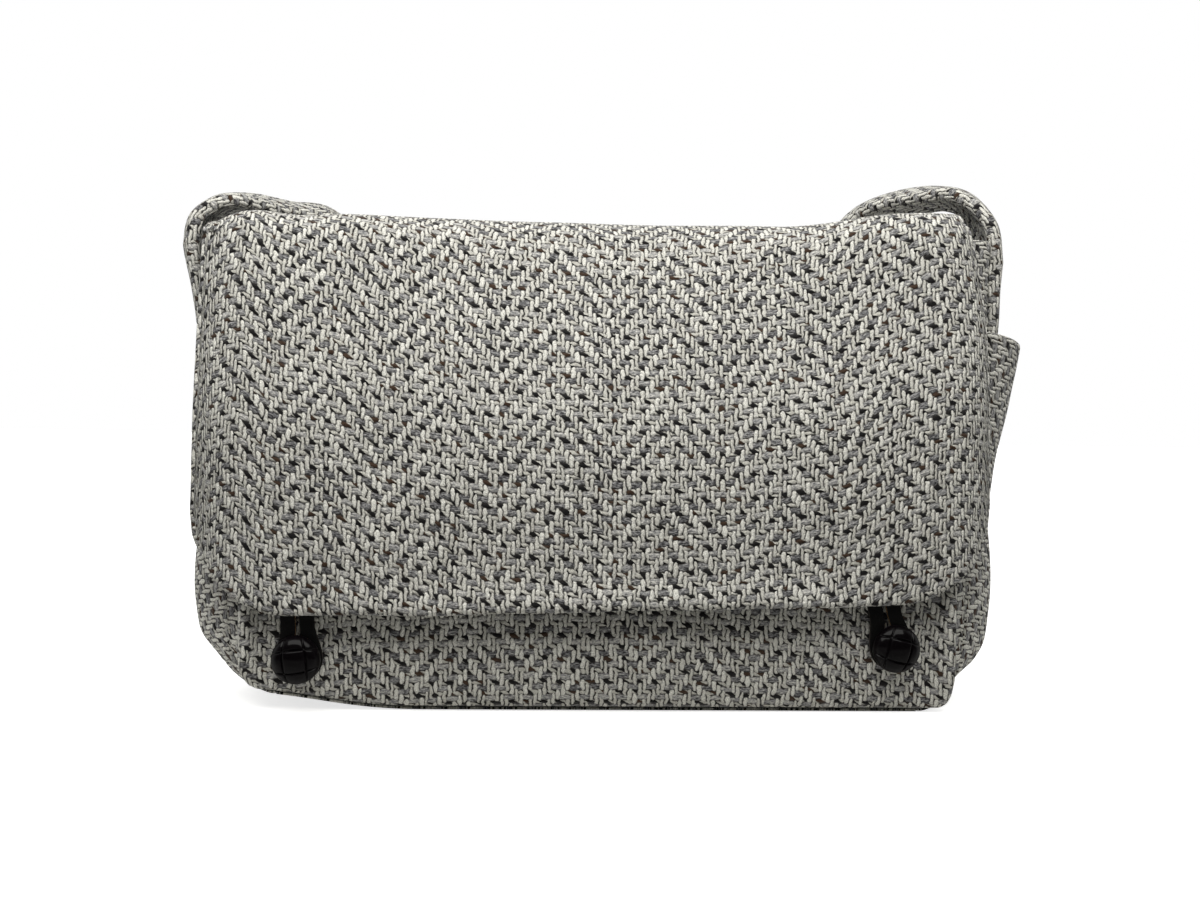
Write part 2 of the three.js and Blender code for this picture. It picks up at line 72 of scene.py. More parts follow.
# Sizes of the flap
FLAP_WIDTH = 330
FLAP_SEAM_WIDTH = 286
FLAP_SHIFT = -3
FLAP_HEM = 44
FLAP_CORNER = 40
FLAP_TILT = 0.025
FLAP_HEM_GAP = 5
FLAP_TOP_GAP = 3
FLAP_EDGE_DROP = 6
FLAP_RIGHT_RISE = 4.5  # its top stands up by this over the right corner of the mouth
FLAP_LEFT_DIP = 2  # and dips by this beside the left one
FLAP_SEWN = 14  # how far its cloth runs down the back panel, past the seam
HEM_ROLL = 2.0  # radius of the flap's and gussets' turned edges
HEM_CURL = 2.5  # how far the flap's hem curls out
SEAM_RIDGE = 3  # how far the front panel's side seams stand up
FRONT_ROLL = 2.4  # radius of the front panel's turned edges, which stand out along its seams
SEAM_ROLL = 1.4  # radius of the other turned edges
TURNED_IN = 4  # width of cloth behind a turned edge

# Sizes of the side pockets
POCKET_FOOT = 20
POCKET_MOUTH = 160
POCKET_SLACK_FROM = 80
POCKET_DIP = 5  # how far the middle of a pocket's mouth sinks
RIGHT_POCKET_GAPE = 16
LEFT_POCKET_GAPE = 1.5

# Sizes of the closures
BUTTON_DIAMETER = 20
BUTTON_RISE = 8.5
BUTTON_SPACING = 247
BUTTON_SHIFT = -1.5
BUTTON_HEIGHT = 26
BUTTON_STANDOFF = 5
BUTTON_CELL = 9.4  # width of the middle leather strips in the woven head
SHANK_DIAMETER = 4.4
LOOP_LEG = 6
LOOP_SLIT = 1.6
LOOP_THICKNESS = 1.6
LOOP_FIT = 1.2
LOOP_LENGTH = 48

# Sizes of the shoulder strap
STRAP_WIDTH = 40
STRAP_THICKNESS = 4
STRAP_SEWN = 34
STRAP_BEHIND = 4
STRAP_LEG_X = 104
STRAP_RIGHT_ARCH = 36
STRAP_LEFT_ARCH = 24
STRAP_LEFT_BOW = 3.5
STRAP_SPLIT_HEIGHT = 180
STRAP_TURN = 26
STRAP_FLOOR = 0.4
STRAP_CREST = 3.5  # the station on top of an arch, where the hanging band begins
STRAP_CROWN = 7  # how far its middle stands above its edges on an arch
BAND_THICKNESS = 6  # of the folded cloth, which is softer and fuller than its solid

# Soft lumps in the cloth: their size across and their depth
FRONT_LUMPS = (38, 1.6)
BACK_LUMPS = (45, 1.6)
GUSSET_LUMPS = (24, 1.0)
FLAP_LUMPS = (46, 1.5)

# The weave: a two-and-two twill that turns back every twelve ends
END_SPACING = 1.96
PICK_SPACING = 2.43
ENDS_PER_COLUMN = 12
COLUMN_WIDTH = END_SPACING * ENDS_PER_COLUMN
FLAP_COLUMN_AT = 7.3  # a column that slants up to the right begins here on the flap
FRONT_COLUMN_AT = 16.2  # and here on the front panel

# The photograph's view
CAMERA_AZIMUTH = -3.5
CAMERA_ELEVATION = 1.55
CAMERA_ROLL = 1.0
CAMERA_DISTANCE = 600
CAMERA_TARGET = (0, 0, 108.6)
CAMERA_LENS = 40.46

# The stage: lengths in metres, the tilt in degrees, the energy in watts
FLOOR_HALF = 6.0
SOFTBOX_WIDTH = 0.8
SOFTBOX_DEPTH = 0.3
SOFTBOX_PLACE = (-0.05, -0.24, 0.46)
SOFTBOX_TILT = 32
SOFTBOX_ENERGY = 2.9

# Sockets of a node that mixes two colours
MIX_SHARE = 0
MIX_FROM = 6
MIX_TO = 7
MIX_RESULT = 2

half_panel = PANEL_WIDTH / 2
half_depth = BODY_DEPTH / 2
flap_build = CLOTH + LINING_EASE + LINING


# Curves and the body's form

def lerp(start, end, share):
    return start + (end - start) * share


def clamp(value):
    return min(max(value, 0.0), 1.0)


def smooth(value, low, high):
    share = clamp((value - low) / (high - low))
    return share * share * (3 - 2 * share)


def profile(points):
    """A smooth curve through (place, value) pairs, level beyond its ends."""
    def slope(i):
        before = points[max(i - 1, 0)]
        after = points[min(i + 1, len(points) - 1)]
        return (after[1] - before[1]) / (after[0] - before[0])

    def at(place):
        i = 0
        while i < len(points) - 2 and place > points[i + 1][0]:
            i += 1
        (start, low), (end, high) = points[i], points[i + 1]
        share = clamp((place - start) / (end - start))
        bend = share * (1 - share) * (end - start)
        straight = lerp(low, high, share * share * (3 - 2 * share))
        return straight + bend * ((1 - share) * slope(i) - share * slope(i + 1))

    return at


front_middle = profile([(0, -0.84), (0.04, -0.93), (0.125, -1), (0.3, -0.97), (0.55, -0.78), (0.75, -0.5),
                        (0.9, -0.2), (1, 0.02)])
front_end = profile([(0, -0.84), (0.05, -0.86), (0.15, -0.87), (0.3, -0.87), (0.55, -0.82), (0.75, -0.71),
                     (0.9, -0.6), (1, -0.51)])
back_middle = profile([(0, 0.78), (0.05, 0.9), (0.15, 0.98), (0.5, 1), (0.8, 0.9), (1, 0.755)])
back_end = profile([(0, 0.78), (0.05, 0.84), (0.15, 0.87), (0.5, 0.88), (0.8, 0.83), (1, 0.755)])


def near_end(x):
    return min(abs(x) / half_panel, 1) ** 2


def front_y(x, z):
    share = z / FRONT_HEIGHT
    return half_depth * lerp(front_middle(share), front_end(share), near_end(x))


def back_y(x, z):
    share = z / BACK_HEIGHT
    return half_depth * lerp(back_middle(share), back_end(share), near_end(x))


def half_width(z, radius=CORNER_RADIUS):
    below = max(radius - z, 0)
    return half_panel - radius + math.sqrt(radius ** 2 - below ** 2)


def across_width(u):
    """Runs from -1 to 1, with its steps a little closer near the ends."""
    even = 2 * u - 1
    return lerp(even, math.sin(math.pi * even / 2), 0.6)


def soft_lump(point, size, depth):
    """How far soft cloth stands in or out at a point, in lumps of about a given size."""
    return depth * noise.noise(point / size)


def normal_of(surface, u, v):
    step = 3e-3
    along = surface(min(u + step, 1), v) - surface(max(u - step, 0), v)
    up = surface(u, min(v + step, 1)) - surface(u, max(v - step, 0))
    return along.cross(up).normalized()


def off(surface, distance):
    """The surface that stands off another by a distance, outward where it is positive."""
    return lambda u, v: surface(u, v) + normal_of(surface, u, v) * distance


def cut_to(surface, left, right, bottom, top):
    """A smaller stretch of a surface."""
    return lambda u, v: surface(lerp(left, right, u), lerp(bottom, top, v))


def mirrored(surface):
    """The same surface on the bag's left side."""
    def at(u, v):
        point = surface(1 - u, v)
        return Vector((-point.x, point.y, point.z))

    return at


def lifted(surface):
    """The same surface with the bag's lower left front corner pulled up, as a full bag's is."""
    def at(u, v):
        point = surface(u, v)
        at_corner = smooth(-point.x, 70, half_panel) ** 1.5 * (1 - smooth(point.z, 0, 50))
        point.z += CORNER_LIFT * at_corner * (1 - smooth(point.y, -half_depth, half_depth))
        return point

    return at


def tucked_in(surface):
    """The same surface on the bag's right, where the gusset is tucked in at its lower corner."""
    def at(u, v):
        point = surface(u, v)
        tucked = CORNER_TUCK * (1 - smooth(point.z, 7, 20))
        point.x -= tucked * max(point.x - half_panel, 0)
        return point

    return at


def front_panel(u, v):
    z = lerp(FRONT_ROLL, FRONT_HEIGHT, v ** 1.4)
    across = across_width(u)
    half = half_width(z, RIGHT_CORNER if across > 0 else CORNER_RADIUS)
    x = across * half
    y = front_y(x, z)
    from_side = half - abs(x)
    ridge = SEAM_RIDGE * math.exp(-((from_side / 3) ** 2)) - 1.5 * math.exp(-(((from_side - 8) / 3.5) ** 2))
    seam_ridge = ridge * smooth(z, 2, 16)
    tuck = 3 * (1 - smooth(z, 0, 5)) ** 2
    inside_seams = smooth(from_side, 4, 30) * smooth(z, 4, 25)
    lump = soft_lump(Vector((x, 0, z)), *FRONT_LUMPS) * inside_seams
    return Vector((x, y - seam_ridge + tuck + lump, z))


def back_panel(u, v):
    z = lerp(SEAM_ROLL, BACK_HEIGHT, v ** 1.4)
    x = -across_width(u) * half_width(z)
    from_side = half_width(z) - abs(x)
    tuck = 4 * (1 - smooth(z, 0, 7)) ** 2
    inside_seams = smooth(from_side, 4, 30) * smooth(z, 4, 25) * smooth(BACK_HEIGHT - z, 12, 40)
    lump = soft_lump(Vector((x, 90, z)), *BACK_LUMPS) * inside_seams
    return Vector((x, back_y(x, z) - tuck + lump, z))


# Gussets and what is sewn on them
corner_length = CORNER_RADIUS * math.pi / 2
gusset_length = corner_length + GUSSET_HEIGHT - CORNER_RADIUS
gusset_swell = profile([(0, 0), (0.02, 0.15), (0.055, 0.36), (0.09, 0.58), (0.13, 0.78), (0.17, 0.92),
                        (0.215, 1), (0.3, 1.02), (0.55, 0.88), (0.83, 0.97), (1, 1.1)])


def gusset_at(z):
    """Where on a gusset's length a height is, above the corner."""
    return (z - CORNER_RADIUS + corner_length) / gusset_length


def gusset_point(across, along):
    length = along * gusset_length
    angle = min(length / CORNER_RADIUS, math.pi / 2) - math.pi / 2
    x = half_panel - CORNER_RADIUS + CORNER_RADIUS * math.cos(angle)
    z = CORNER_RADIUS + CORNER_RADIUS * math.sin(angle) + max(length - corner_length, 0)
    front = front_y(x, z) + CLOTH + SEAM_GAP
    back = back_y(x, z) - CLOTH - SEAM_GAP
    flatness = lerp(2.4, 5, smooth(along, 0.5, 1))
    swell = max(1 - abs(2 * across - 1) ** flatness, 0) ** 0.6
    bulge = GUSSET_BULGE * gusset_swell(along) * swell
    lump = soft_lump(Vector((0, 80 * across, z)), *GUSSET_LUMPS) * swell * smooth(along, 0.05, 0.2)
    return Vector((
        max(x, half_panel - CORNER_RADIUS + SEAM_GAP) + bulge * math.cos(angle * 0.35) + lump,
        lerp(front, back, across),
        max(z + bulge * math.sin(angle * 0.1), 0.2),
    ))


def gusset(u, v):
    across = 0.5 - 0.5 * math.cos(math.pi * u)
    along = v ** 1.3
    point = gusset_point(across, along)
    point.z += GUSSET_EAR * smooth(along, 0.88, 1) * (1 - smooth(across, 0.1, 0.4))
    return point


def off_gusset(across, along, away):
    step = 1e-3
    to_back = gusset_point(across + step, along) - gusset_point(across - step, along)
    to_top = gusset_point(across, along) - gusset_point(across, along - step)
    return gusset_point(across, along) + to_back.cross(to_top).normalized() * away


def pocket(gape):
    """A side pocket lies on its gusset and stands off it towards the open mouth."""
    mouth = gusset_at(POCKET_MOUTH)
    slack_from = gusset_at(POCKET_SLACK_FROM)

    def at(u, v):
        lip = mouth + POCKET_DIP * (0.4 - math.sin(math.pi * u)) / gusset_length
        along = lerp(POCKET_FOOT / gusset_length, lip, v)
        slack = clamp((along - slack_from) / (mouth - slack_from))
        in_seams = smooth(min(u, 1 - u), 0, 0.2) * smooth(v, 0, 0.12)
        away = lerp(0.4, LINING_EASE + CLOTH, in_seams) + gape * slack * math.sin(math.pi * u) ** 0.8
        return off_gusset(lerp(0.04, 0.96, u), along, away)

    return at


# Flap
hinge_y = back_y(0, BACK_HEIGHT)
hinge_z = BACK_HEIGHT + SEAM_GAP + flap_build


def smooth_path(points, steps=12):
    """Points along a smooth curve through a few, with the length up to each."""
    fine = []
    for i in range(len(points) - 1):
        before = points[max(i - 1, 0)]
        after = points[min(i + 2, len(points) - 1)]
        for step in range(steps):
            t = step / steps
            start = points[i]
            end = points[i + 1]
            fine.append(0.5 * (2 * start + (end - before) * t
                               + (2 * before - 5 * start + 4 * end - after) * t * t
                               + (3 * start - before - 3 * end + after) * t ** 3))
    fine.append(points[-1])
    lengths = [0.0]
    for a, b in zip(fine, fine[1:]):
        lengths.append(lengths[-1] + (b - a).length)
    return fine, lengths


def along_path(path, length):
    """The point and heading at a length along a path."""
    fine, lengths = path
    low = 0
    high = len(lengths) - 1
    while high - low > 1:
        middle = (low + high) // 2
        if lengths[middle] <= length:
            low = middle
        else:
            high = middle
    share = (length - lengths[low]) / max(lengths[high] - lengths[low], 1e-9)
    return fine[low].lerp(fine[high], share), (fine[high] - fine[low]).normalized()


def flap_path(x):
    """The flap's section at a width, from its hem over the mouth and a little way down the back."""
    points = []
    stations = 7
    for i in range(stations):
        share = i / (stations - 1)
        z = lerp(FLAP_HEM + x * FLAP_TILT, FRONT_HEIGHT, share)
        lean = math.atan((front_y(x, z + 1) - front_y(x, z - 1)) / 2)
        away = flap_build + lerp(FLAP_HEM_GAP, FLAP_TOP_GAP, share)
        points.append(Vector((front_y(x, z) - away * math.cos(lean), z + away * math.sin(lean))))
    top = points[-1]
    rise = hinge_z - top.y
    near = near_end(x)
    over_mouth = ((lerp(0.15, 0.06, near), 0.45), (lerp(0.36, 0.2, near), 0.83), (0.68, 1), (1, 1))
    for back, up in over_mouth:
        points.append(Vector((lerp(top.x, hinge_y, back), top.y + rise * up)))
    to_hinge = smooth_path(points)[1][-1]
    for down in (4, FLAP_SEWN * 0.6, FLAP_SEWN):
        points.append(Vector((back_y(x, BACK_HEIGHT - down) + SEAM_GAP + CLOTH, hinge_z - down)))
    return smooth_path(points), to_hinge


def corner_rise(x):
    past = clamp((abs(x) - (FLAP_WIDTH / 2 - FLAP_CORNER)) / FLAP_CORNER)
    return FLAP_CORNER * (1 - math.sqrt(1 - past * past))


flap_paths = {}


def flap(u, v):
    share = across_width(u)
    x = share * FLAP_WIDTH / 2
    if u not in flap_paths:
        flap_paths[u] = flap_path(x)
    path, to_hinge = flap_paths[u]
    uneven = 1.5 * noise.noise(Vector((x / 45, 7, 0)))
    hem = corner_rise(x) + HEM_ROLL + uneven
    length = lerp(hem, path[1][-1], v)
    point, heading = along_path(path, length)
    place = min(length / to_hinge, 1)
    to_seam = smooth(place, lerp(0.72, 0.48, smooth(x, -60, 60)), 1)
    half = lerp(FLAP_WIDTH, FLAP_SEAM_WIDTH, to_seam) / 2
    across = share * half + FLAP_SHIFT * (1 - to_seam)
    overhang = clamp((abs(across) - half_panel) / (FLAP_WIDTH / 2 - half_panel))
    drop = FLAP_EDGE_DROP * overhang * overhang * (1 - to_seam)
    lump = soft_lump(Vector((x, 40, length)), *FLAP_LUMPS) * (1 - smooth(place, 0.8, 0.95))
    curl = HEM_CURL * (1 - smooth(length - hem, 0, 16)) ** 2 * (1 - smooth(abs(x), 90, 130))
    back = drop + lump - curl
    at_top = smooth(place, 0.55, 0.78) * (1 - smooth(place, 0.9, 1))
    dip = FLAP_LEFT_DIP * math.exp(-((across + 133) / 14) ** 2)
    lift = FLAP_RIGHT_RISE * smooth(across, 80, 130) - dip
    return Vector((across, point.x + heading.y * back, point.y - heading.x * back + lift * at_top))


# Shoulder strap
strap_centre = 0.5
strap_top_y = gusset_point(strap_centre, 1).y
strap_share = min(STRAP_WIDTH / (gusset_point(1, 1).y - gusset_point(0, 1).y), 0.84)


def sewn_strap(u, z, bow):
    away = LINING_EASE + STRAP_THICKNESS + bow * smooth(z, GUSSET_HEIGHT - STRAP_SEWN, GUSSET_HEIGHT)
    return off_gusset(strap_centre + (u - 0.5) * strap_share, gusset_at(z), away)


sewn_top = sewn_strap(0.5, GUSSET_HEIGHT, 0)
leg_x = STRAP_LEG_X
leg_y = half_depth + STRAP_BEHIND + STRAP_WIDTH / 2
turn_z = STRAP_FLOOR + BAND_THICKNESS + STRAP_TURN
arch_x = sewn_top.x - leg_x
arch_y = leg_y - strap_top_y


def strap_stations(rise, bow, falls):
    """Places along the strap's middle and the direction of its width there. The last two heights of
    the arch, as shares of its rise, are its falls."""
    x, y, z = sewn_top.x + bow, strap_top_y, sewn_top.z
    return [
        ((x, y, z), (0, 1, 0)),
        ((x - arch_x * 0.02, y + arch_y * 0.02, z + rise * 0.42), (0.1, 0.95, -0.2)),
        ((x - arch_x * 0.13, y + arch_y * 0.15, z + rise * 0.84), (0.3, 0.95, -0.05)),
        ((x - arch_x * 0.29, y + arch_y * 0.37, z + rise), (0.45, 0.88, 0.05)),
        ((x - arch_x * 0.48, y + arch_y * 0.64, z + rise * 0.97), (0.6, 0.8, 0)),
        ((x - arch_x * 0.66, y + arch_y * 0.86, z + rise * falls[0]), (0.6, 0.8, 0.05)),
        ((x - arch_x * 0.79, y + arch_y * 0.97, z + rise * falls[1]), (0.5, 0.87, 0)),
        ((leg_x + arch_x * 0.11, leg_y, STRAP_SPLIT_HEIGHT), (0.4, 0.92, 0)),
        ((leg_x + arch_x * 0.04, leg_y, lerp(STRAP_SPLIT_HEIGHT, turn_z, 0.3)), (0.25, 0.97, 0)),
        ((leg_x, leg_y, lerp(STRAP_SPLIT_HEIGHT, turn_z, 0.65)), (0.1, 1, 0)),
        ((leg_x, leg_y, turn_z), (0, 1, 0)),
    ]


class StrapSide:
    """One side of the strap: the end sewn on a gusset, its arch and its leg."""

    def __init__(self, rise, bow, falls):
        stations = strap_stations(rise, bow, falls)
        self.bow = bow
        self.steps = 12
        self.path, _ = smooth_path([Vector(place) for place, _ in stations], self.steps)
        self.widths, _ = smooth_path([Vector(width) for _, width in stations], self.steps)
        self.last = len(stations) - 1
        self.settling = {}

    def heading(self, i):
        return (self.path[min(i + 1, len(self.path) - 1)] - self.path[max(i - 1, 0)]).normalized()

    def on(self, station, u):
        spot = min(station, self.last - 1e-6) * self.steps
        i = int(spot)
        point = self.path[i].lerp(self.path[i + 1], spot - i)
        heading = self.heading(i).lerp(self.heading(i + 1), spot - i).normalized()
        width = self.widths[i].lerp(self.widths[i + 1], spot - i)
        width = (width - heading * width.dot(heading) * smooth(station, 0, 2)).normalized()
        from_middle = 2 * u - 1
        crown = STRAP_CROWN * (0.6 - from_middle ** 2) * smooth(station, 0, 2)
        crown *= 1 - smooth(station, 4.5, 7)
        return point + width * from_middle * STRAP_WIDTH / 2 + width.cross(heading) * crown

    def settled(self, station, u):
        """The same, easing out of the form that the sewn end has on the gusset."""
        if u not in self.settling:
            self.settling[u] = sewn_strap(u, GUSSET_HEIGHT, self.bow) - self.on(0, u)
        return self.on(station, u) + self.settling[u] * (1 - smooth(station, 0, 3))

    def tab(self, u, v):
        """From the sewn end up to the crest of the arch."""
        sewn_part = 0.4
        if v <= sewn_part:
            z = lerp(GUSSET_HEIGHT - STRAP_SEWN, GUSSET_HEIGHT, v / sewn_part)
            return sewn_strap(u, z, self.bow)
        return self.settled(STRAP_CREST * (v - sewn_part) / (1 - sewn_part), u)


right_strap = StrapSide(STRAP_RIGHT_ARCH, 0, (0.8, 0.4))
left_strap = StrapSide(STRAP_LEFT_ARCH, STRAP_LEFT_BOW, (1, 0.6))


def hanging_strap(u, v):
    """From the right crest down, round both lower turns, and up to the left crest."""
    leg_part = 0.36
    turn_part = 0.06
    left = v > 0.5
    k = 1 - v if left else v
    if k <= leg_part:
        side = left_strap if left else right_strap
        point = side.on(lerp(STRAP_CREST, side.last, k / leg_part), u)
    else:
        turn = clamp((k - leg_part) / turn_part) * math.pi / 2
        floor_share = clamp((k - leg_part - turn_part) / (0.5 - leg_part - turn_part))
        x = (leg_x - STRAP_TURN) * (1 - floor_share) + STRAP_TURN * math.cos(turn)
        point = Vector((x, leg_y + (u - 0.5) * STRAP_WIDTH, turn_z - STRAP_TURN * math.sin(turn)))
    if left:
        point.x = -point.x
    return point


def folded_band(face, thickness, width):
    """A flat band of folded cloth under its outer face. It goes round the section as u does, from the
    fold's seam underneath."""
    flat = width - thickness
    curl = math.pi * thickness / 2
    inset = thickness / 2 / width

    def at(u, v):
        run = u * 2 * (flat + curl) - flat / 2
        if run < 0:
            place, turn = lerp(0.5, inset, (run + flat / 2) / (flat / 2)), math.pi
        elif run < curl:
            place, turn = inset, math.pi * (1 - run / curl)
        elif run < curl + flat:
            place, turn = lerp(inset, 1 - inset, (run - curl) / flat), 0
        elif run < 2 * curl + flat:
            place, turn = 1 - inset, math.pi * (run - curl - flat) / curl
        else:
            place, turn = lerp(1 - inset, 0.5, (run - 2 * curl - flat) / (flat / 2)), math.pi
        outward = normal_of(face, place, v)
        sideways = (face(min(place + 0.01, 1), v) - face(max(place - 0.01, 0), v)).normalized()
        if place < 0.5:
            sideways = -sideways
        sunk = thickness / 2 * (1 - math.cos(turn))
        return face(place, v) - outward * sunk + sideways * thickness / 2 * math.sin(turn)

    return at


# Materials

def colour(hex_value):
    """An sRGB hex value as a linear colour."""
    parts = [int(hex_value[i:i + 2], 16) / 255 for i in (1, 3, 5)]
    linear = [c / 12.92 if c <= 0.04045 else ((c + 0.055) / 1.055) ** 2.4 for c in parts]
    return (*linear, 1.0)


def add_node(tree, kind, *values, sockets=None, **settings):
    """A shader node with its settings. A value is a number, a colour, a node or a socket to link from."""
    made = tree.nodes.new("ShaderNode" + kind)
    for name, value in settings.items():
        setattr(made, name, value)
    for socket, value in [*enumerate(values), *(sockets or {}).items()]:
        if isinstance(value, bpy.types.Node):
            tree.links.new(value.outputs[0], made.inputs[socket])
        elif isinstance(value, bpy.types.NodeSocket):
            tree.links.new(value, made.inputs[socket])
        else:
            made.inputs[socket].default_value = value
    return made


def new_material(name):
    """A material with an empty surface, and its node tree."""
    material = bpy.data.materials.new(name)
    material.use_nodes = True
    tree = material.node_tree
    tree.nodes.clear()
    surface = add_node(tree, "BsdfPrincipled")
    add_node(tree, "OutputMaterial", surface)
    return material, tree, surface


def woven_tweed():
    """Wool tweed in a herringbone twill, hand-woven: plump cream ends over heather-grey picks, with a
    thinner black, white and brown marl pick between them. The eye gets soft slanting dashes, black
    flecks and a woolly haze."""
    material, tree, surface = new_material("wool_tweed_herringbone_woven")
    threads = add_node(tree, "UVMap", uv_map="threads")
    place = add_node(tree, "VectorMath", threads, sockets={"Scale": 1 / MM}, operation="SCALE")
    # The threads drift and shake, and fibres of two sizes lie on them; sizes are in millimetres
    drift, shake, fibre, fuzz = (
        add_node(tree, "TexNoise", place, sockets={"Scale": 1 / size, "Detail": detail},
                 noise_dimensions="2D")
        for size, detail in ((18, 1.0), (2.4, 1.0), (0.9, 3.0), (0.5, 2.0))
    )
    drifted = add_node(tree, "VectorMath", drift.outputs["Color"], (2.2, 2.2, 0), place,
                       operation="MULTIPLY_ADD")
    shaken = add_node(tree, "VectorMath", shake.outputs["Color"], (1.4, 1.2, 0), drifted,
                      operation="MULTIPLY_ADD")
    counts = add_node(tree, "VectorMath", shaken, (END_SPACING, 2 * PICK_SPACING, 1), operation="DIVIDE")
    split = add_node(tree, "SeparateXYZ", counts)
    ends = split.outputs["X"]
    pairs = split.outputs["Y"]

    # A thick pick takes this share of each pair of picks
    thick = 0.57
    in_pair = add_node(tree, "Math", pairs, operation="FRACT")
    pair = add_node(tree, "Math", pairs, operation="FLOOR")
    thick_part = add_node(tree, "MapRange", in_pair, 0, thick, 0, 1)
    thin_part = add_node(tree, "MapRange", in_pair, thick, 1, 0, 1)
    both_parts = add_node(tree, "Math", thick_part, thin_part, operation="ADD")
    picks = add_node(tree, "Math", pair, 2, both_parts, operation="MULTIPLY_ADD")
    is_thin = add_node(tree, "Math", in_pair, thick, operation="GREATER_THAN")

    # The slant turns back at every column
    end = add_node(tree, "Math", ends, operation="FLOOR")
    in_end = add_node(tree, "Math", ends, operation="FRACT")
    column = add_node(tree, "Math", ends, ENDS_PER_COLUMN, operation="DIVIDE")
    column = add_node(tree, "Math", column, operation="FLOOR")
    turned = add_node(tree, "Math", column, 2, operation="FLOORED_MODULO")
    in_column = add_node(tree, "Math", end, ENDS_PER_COLUMN, operation="FLOORED_MODULO")
    back_step = add_node(tree, "Math", in_column, -2, ENDS_PER_COLUMN + 1, operation="MULTIPLY_ADD")
    stepped = add_node(tree, "Math", turned, back_step, in_column, operation="MULTIPLY_ADD")

    # Plump floats of the ends, each with its own width and length
    float_place = add_node(tree, "Math", picks, stepped, operation="ADD")
    end_float = add_node(tree, "Math", float_place, 0.25, 0.25, operation="MULTIPLY_ADD")
    end_float = add_node(tree, "Math", end_float, operation="FLOOR")
    end_key = add_node(tree, "CombineXYZ", end, end_float)
    end_chance = add_node(tree, "TexWhiteNoise", end_key, noise_dimensions="2D")
    from_middle = add_node(tree, "Math", float_place, -1, operation="ADD")
    end_along = add_node(tree, "Math", from_middle, 2, operation="PINGPONG")
    half_length = add_node(tree, "MapRange", end_chance, 0, 1, 1.38, 1.08)
    end_along = add_node(tree, "Math", end_along, half_length, operation="DIVIDE")
    end_along = add_node(tree, "Math", end_along, 4, operation="POWER")
    doubled = add_node(tree, "Math", ends, 2, 1, operation="MULTIPLY_ADD")
    end_across = add_node(tree, "Math", doubled, 1, operation="PINGPONG")
    half_thickness = add_node(tree, "MapRange", end_chance, 0, 1, 0.78, 1.08)
    end_across = add_node(tree, "Math", end_across, half_thickness, operation="DIVIDE")
    end_across = add_node(tree, "Math", end_across, 2, operation="POWER")
    end_fall = add_node(tree, "Math", end_along, end_across, operation="ADD")
    end_height = add_node(tree, "Math", 1.0, end_fall, operation="SUBTRACT")

    # Floats of the picks
    pick = add_node(tree, "Math", picks, operation="FLOOR")
    in_pick = add_node(tree, "Math", picks, operation="FRACT")
    flipped = add_node(tree, "Math", in_end, -2, 1, operation="MULTIPLY_ADD")
    across_end = add_node(tree, "Math", turned, flipped, in_end, operation="MULTIPLY_ADD")
    pick_place = add_node(tree, "Math", pick, stepped, operation="ADD")
    pick_place = add_node(tree, "Math", pick_place, across_end, operation="ADD")
    pick_float = add_node(tree, "Math", pick_place, 0.25, -0.25, operation="MULTIPLY_ADD")
    pick_float = add_node(tree, "Math", pick_float, operation="FLOOR")
    pick_key = add_node(tree, "CombineXYZ", pick, pick_float)
    pick_chance = add_node(tree, "TexWhiteNoise", pick_key, noise_dimensions="2D")
    pick_middle = add_node(tree, "Math", pick_place, -3, operation="ADD")
    pick_along = add_node(tree, "Math", pick_middle, 2, operation="PINGPONG")
    pick_along = add_node(tree, "Math", pick_along, 1.3, operation="DIVIDE")
    pick_along = add_node(tree, "Math", pick_along, 4, operation="POWER")
    pick_across = add_node(tree, "Math", in_pick, 2, -1, operation="MULTIPLY_ADD")
    pick_across = add_node(tree, "Math", pick_across, 2, operation="POWER")
    pick_fall = add_node(tree, "Math", pick_along, pick_across, operation="ADD")
    pick_height = add_node(tree, "Math", pick_fall, -0.8, 0.8, operation="MULTIPLY_ADD")

    # What shows at each place, with fuzzy edges, and painted shade in the gaps where the yarns sink
    height = add_node(tree, "Math", end_height, pick_height, operation="MAXIMUM")
    lead = add_node(tree, "Math", end_height, pick_height, operation="SUBTRACT")
    lead = add_node(tree, "Math", fibre, 1.1, lead, operation="MULTIPLY_ADD")
    end_shows = add_node(tree, "MapRange", lead, 0.38, 0.72, 0, 1)
    yarn_clear_of_painted_shade = add_node(tree, "MapRange", height, -0.05, 0.5, 0, 1)

    # Colours of the yarns, each float a little different
    cream_place = add_node(tree, "Math", end_chance, fibre, operation="MULTIPLY")
    cream = add_node(tree, "Mix", data_type="RGBA", sockets={
        MIX_SHARE: cream_place, MIX_FROM: colour("#cfcdc5"), MIX_TO: colour("#fbfaf3")})
    streaks = add_node(tree, "VectorMath", place, (0.6, 1.7, 0), operation="MULTIPLY")
    heathery = add_node(tree, "TexNoise", streaks, sockets={"Scale": 1.0, "Detail": 3.0},
                        noise_dimensions="2D")
    heather_place = add_node(tree, "Math", pick_chance, 0.3, heathery, operation="MULTIPLY_ADD")
    heather = add_node(tree, "ValToRGB", heather_place)
    stops = heather.color_ramp.elements
    stops[0].position = 0.4
    stops[0].color = colour("#343335")
    stops[1].position = 0.92
    stops[1].color = colour("#d3d1cb")
    for position, shade in ((0.55, "#727274"), (0.72, "#a3a2a1")):
        stops.new(position).color = colour(shade)

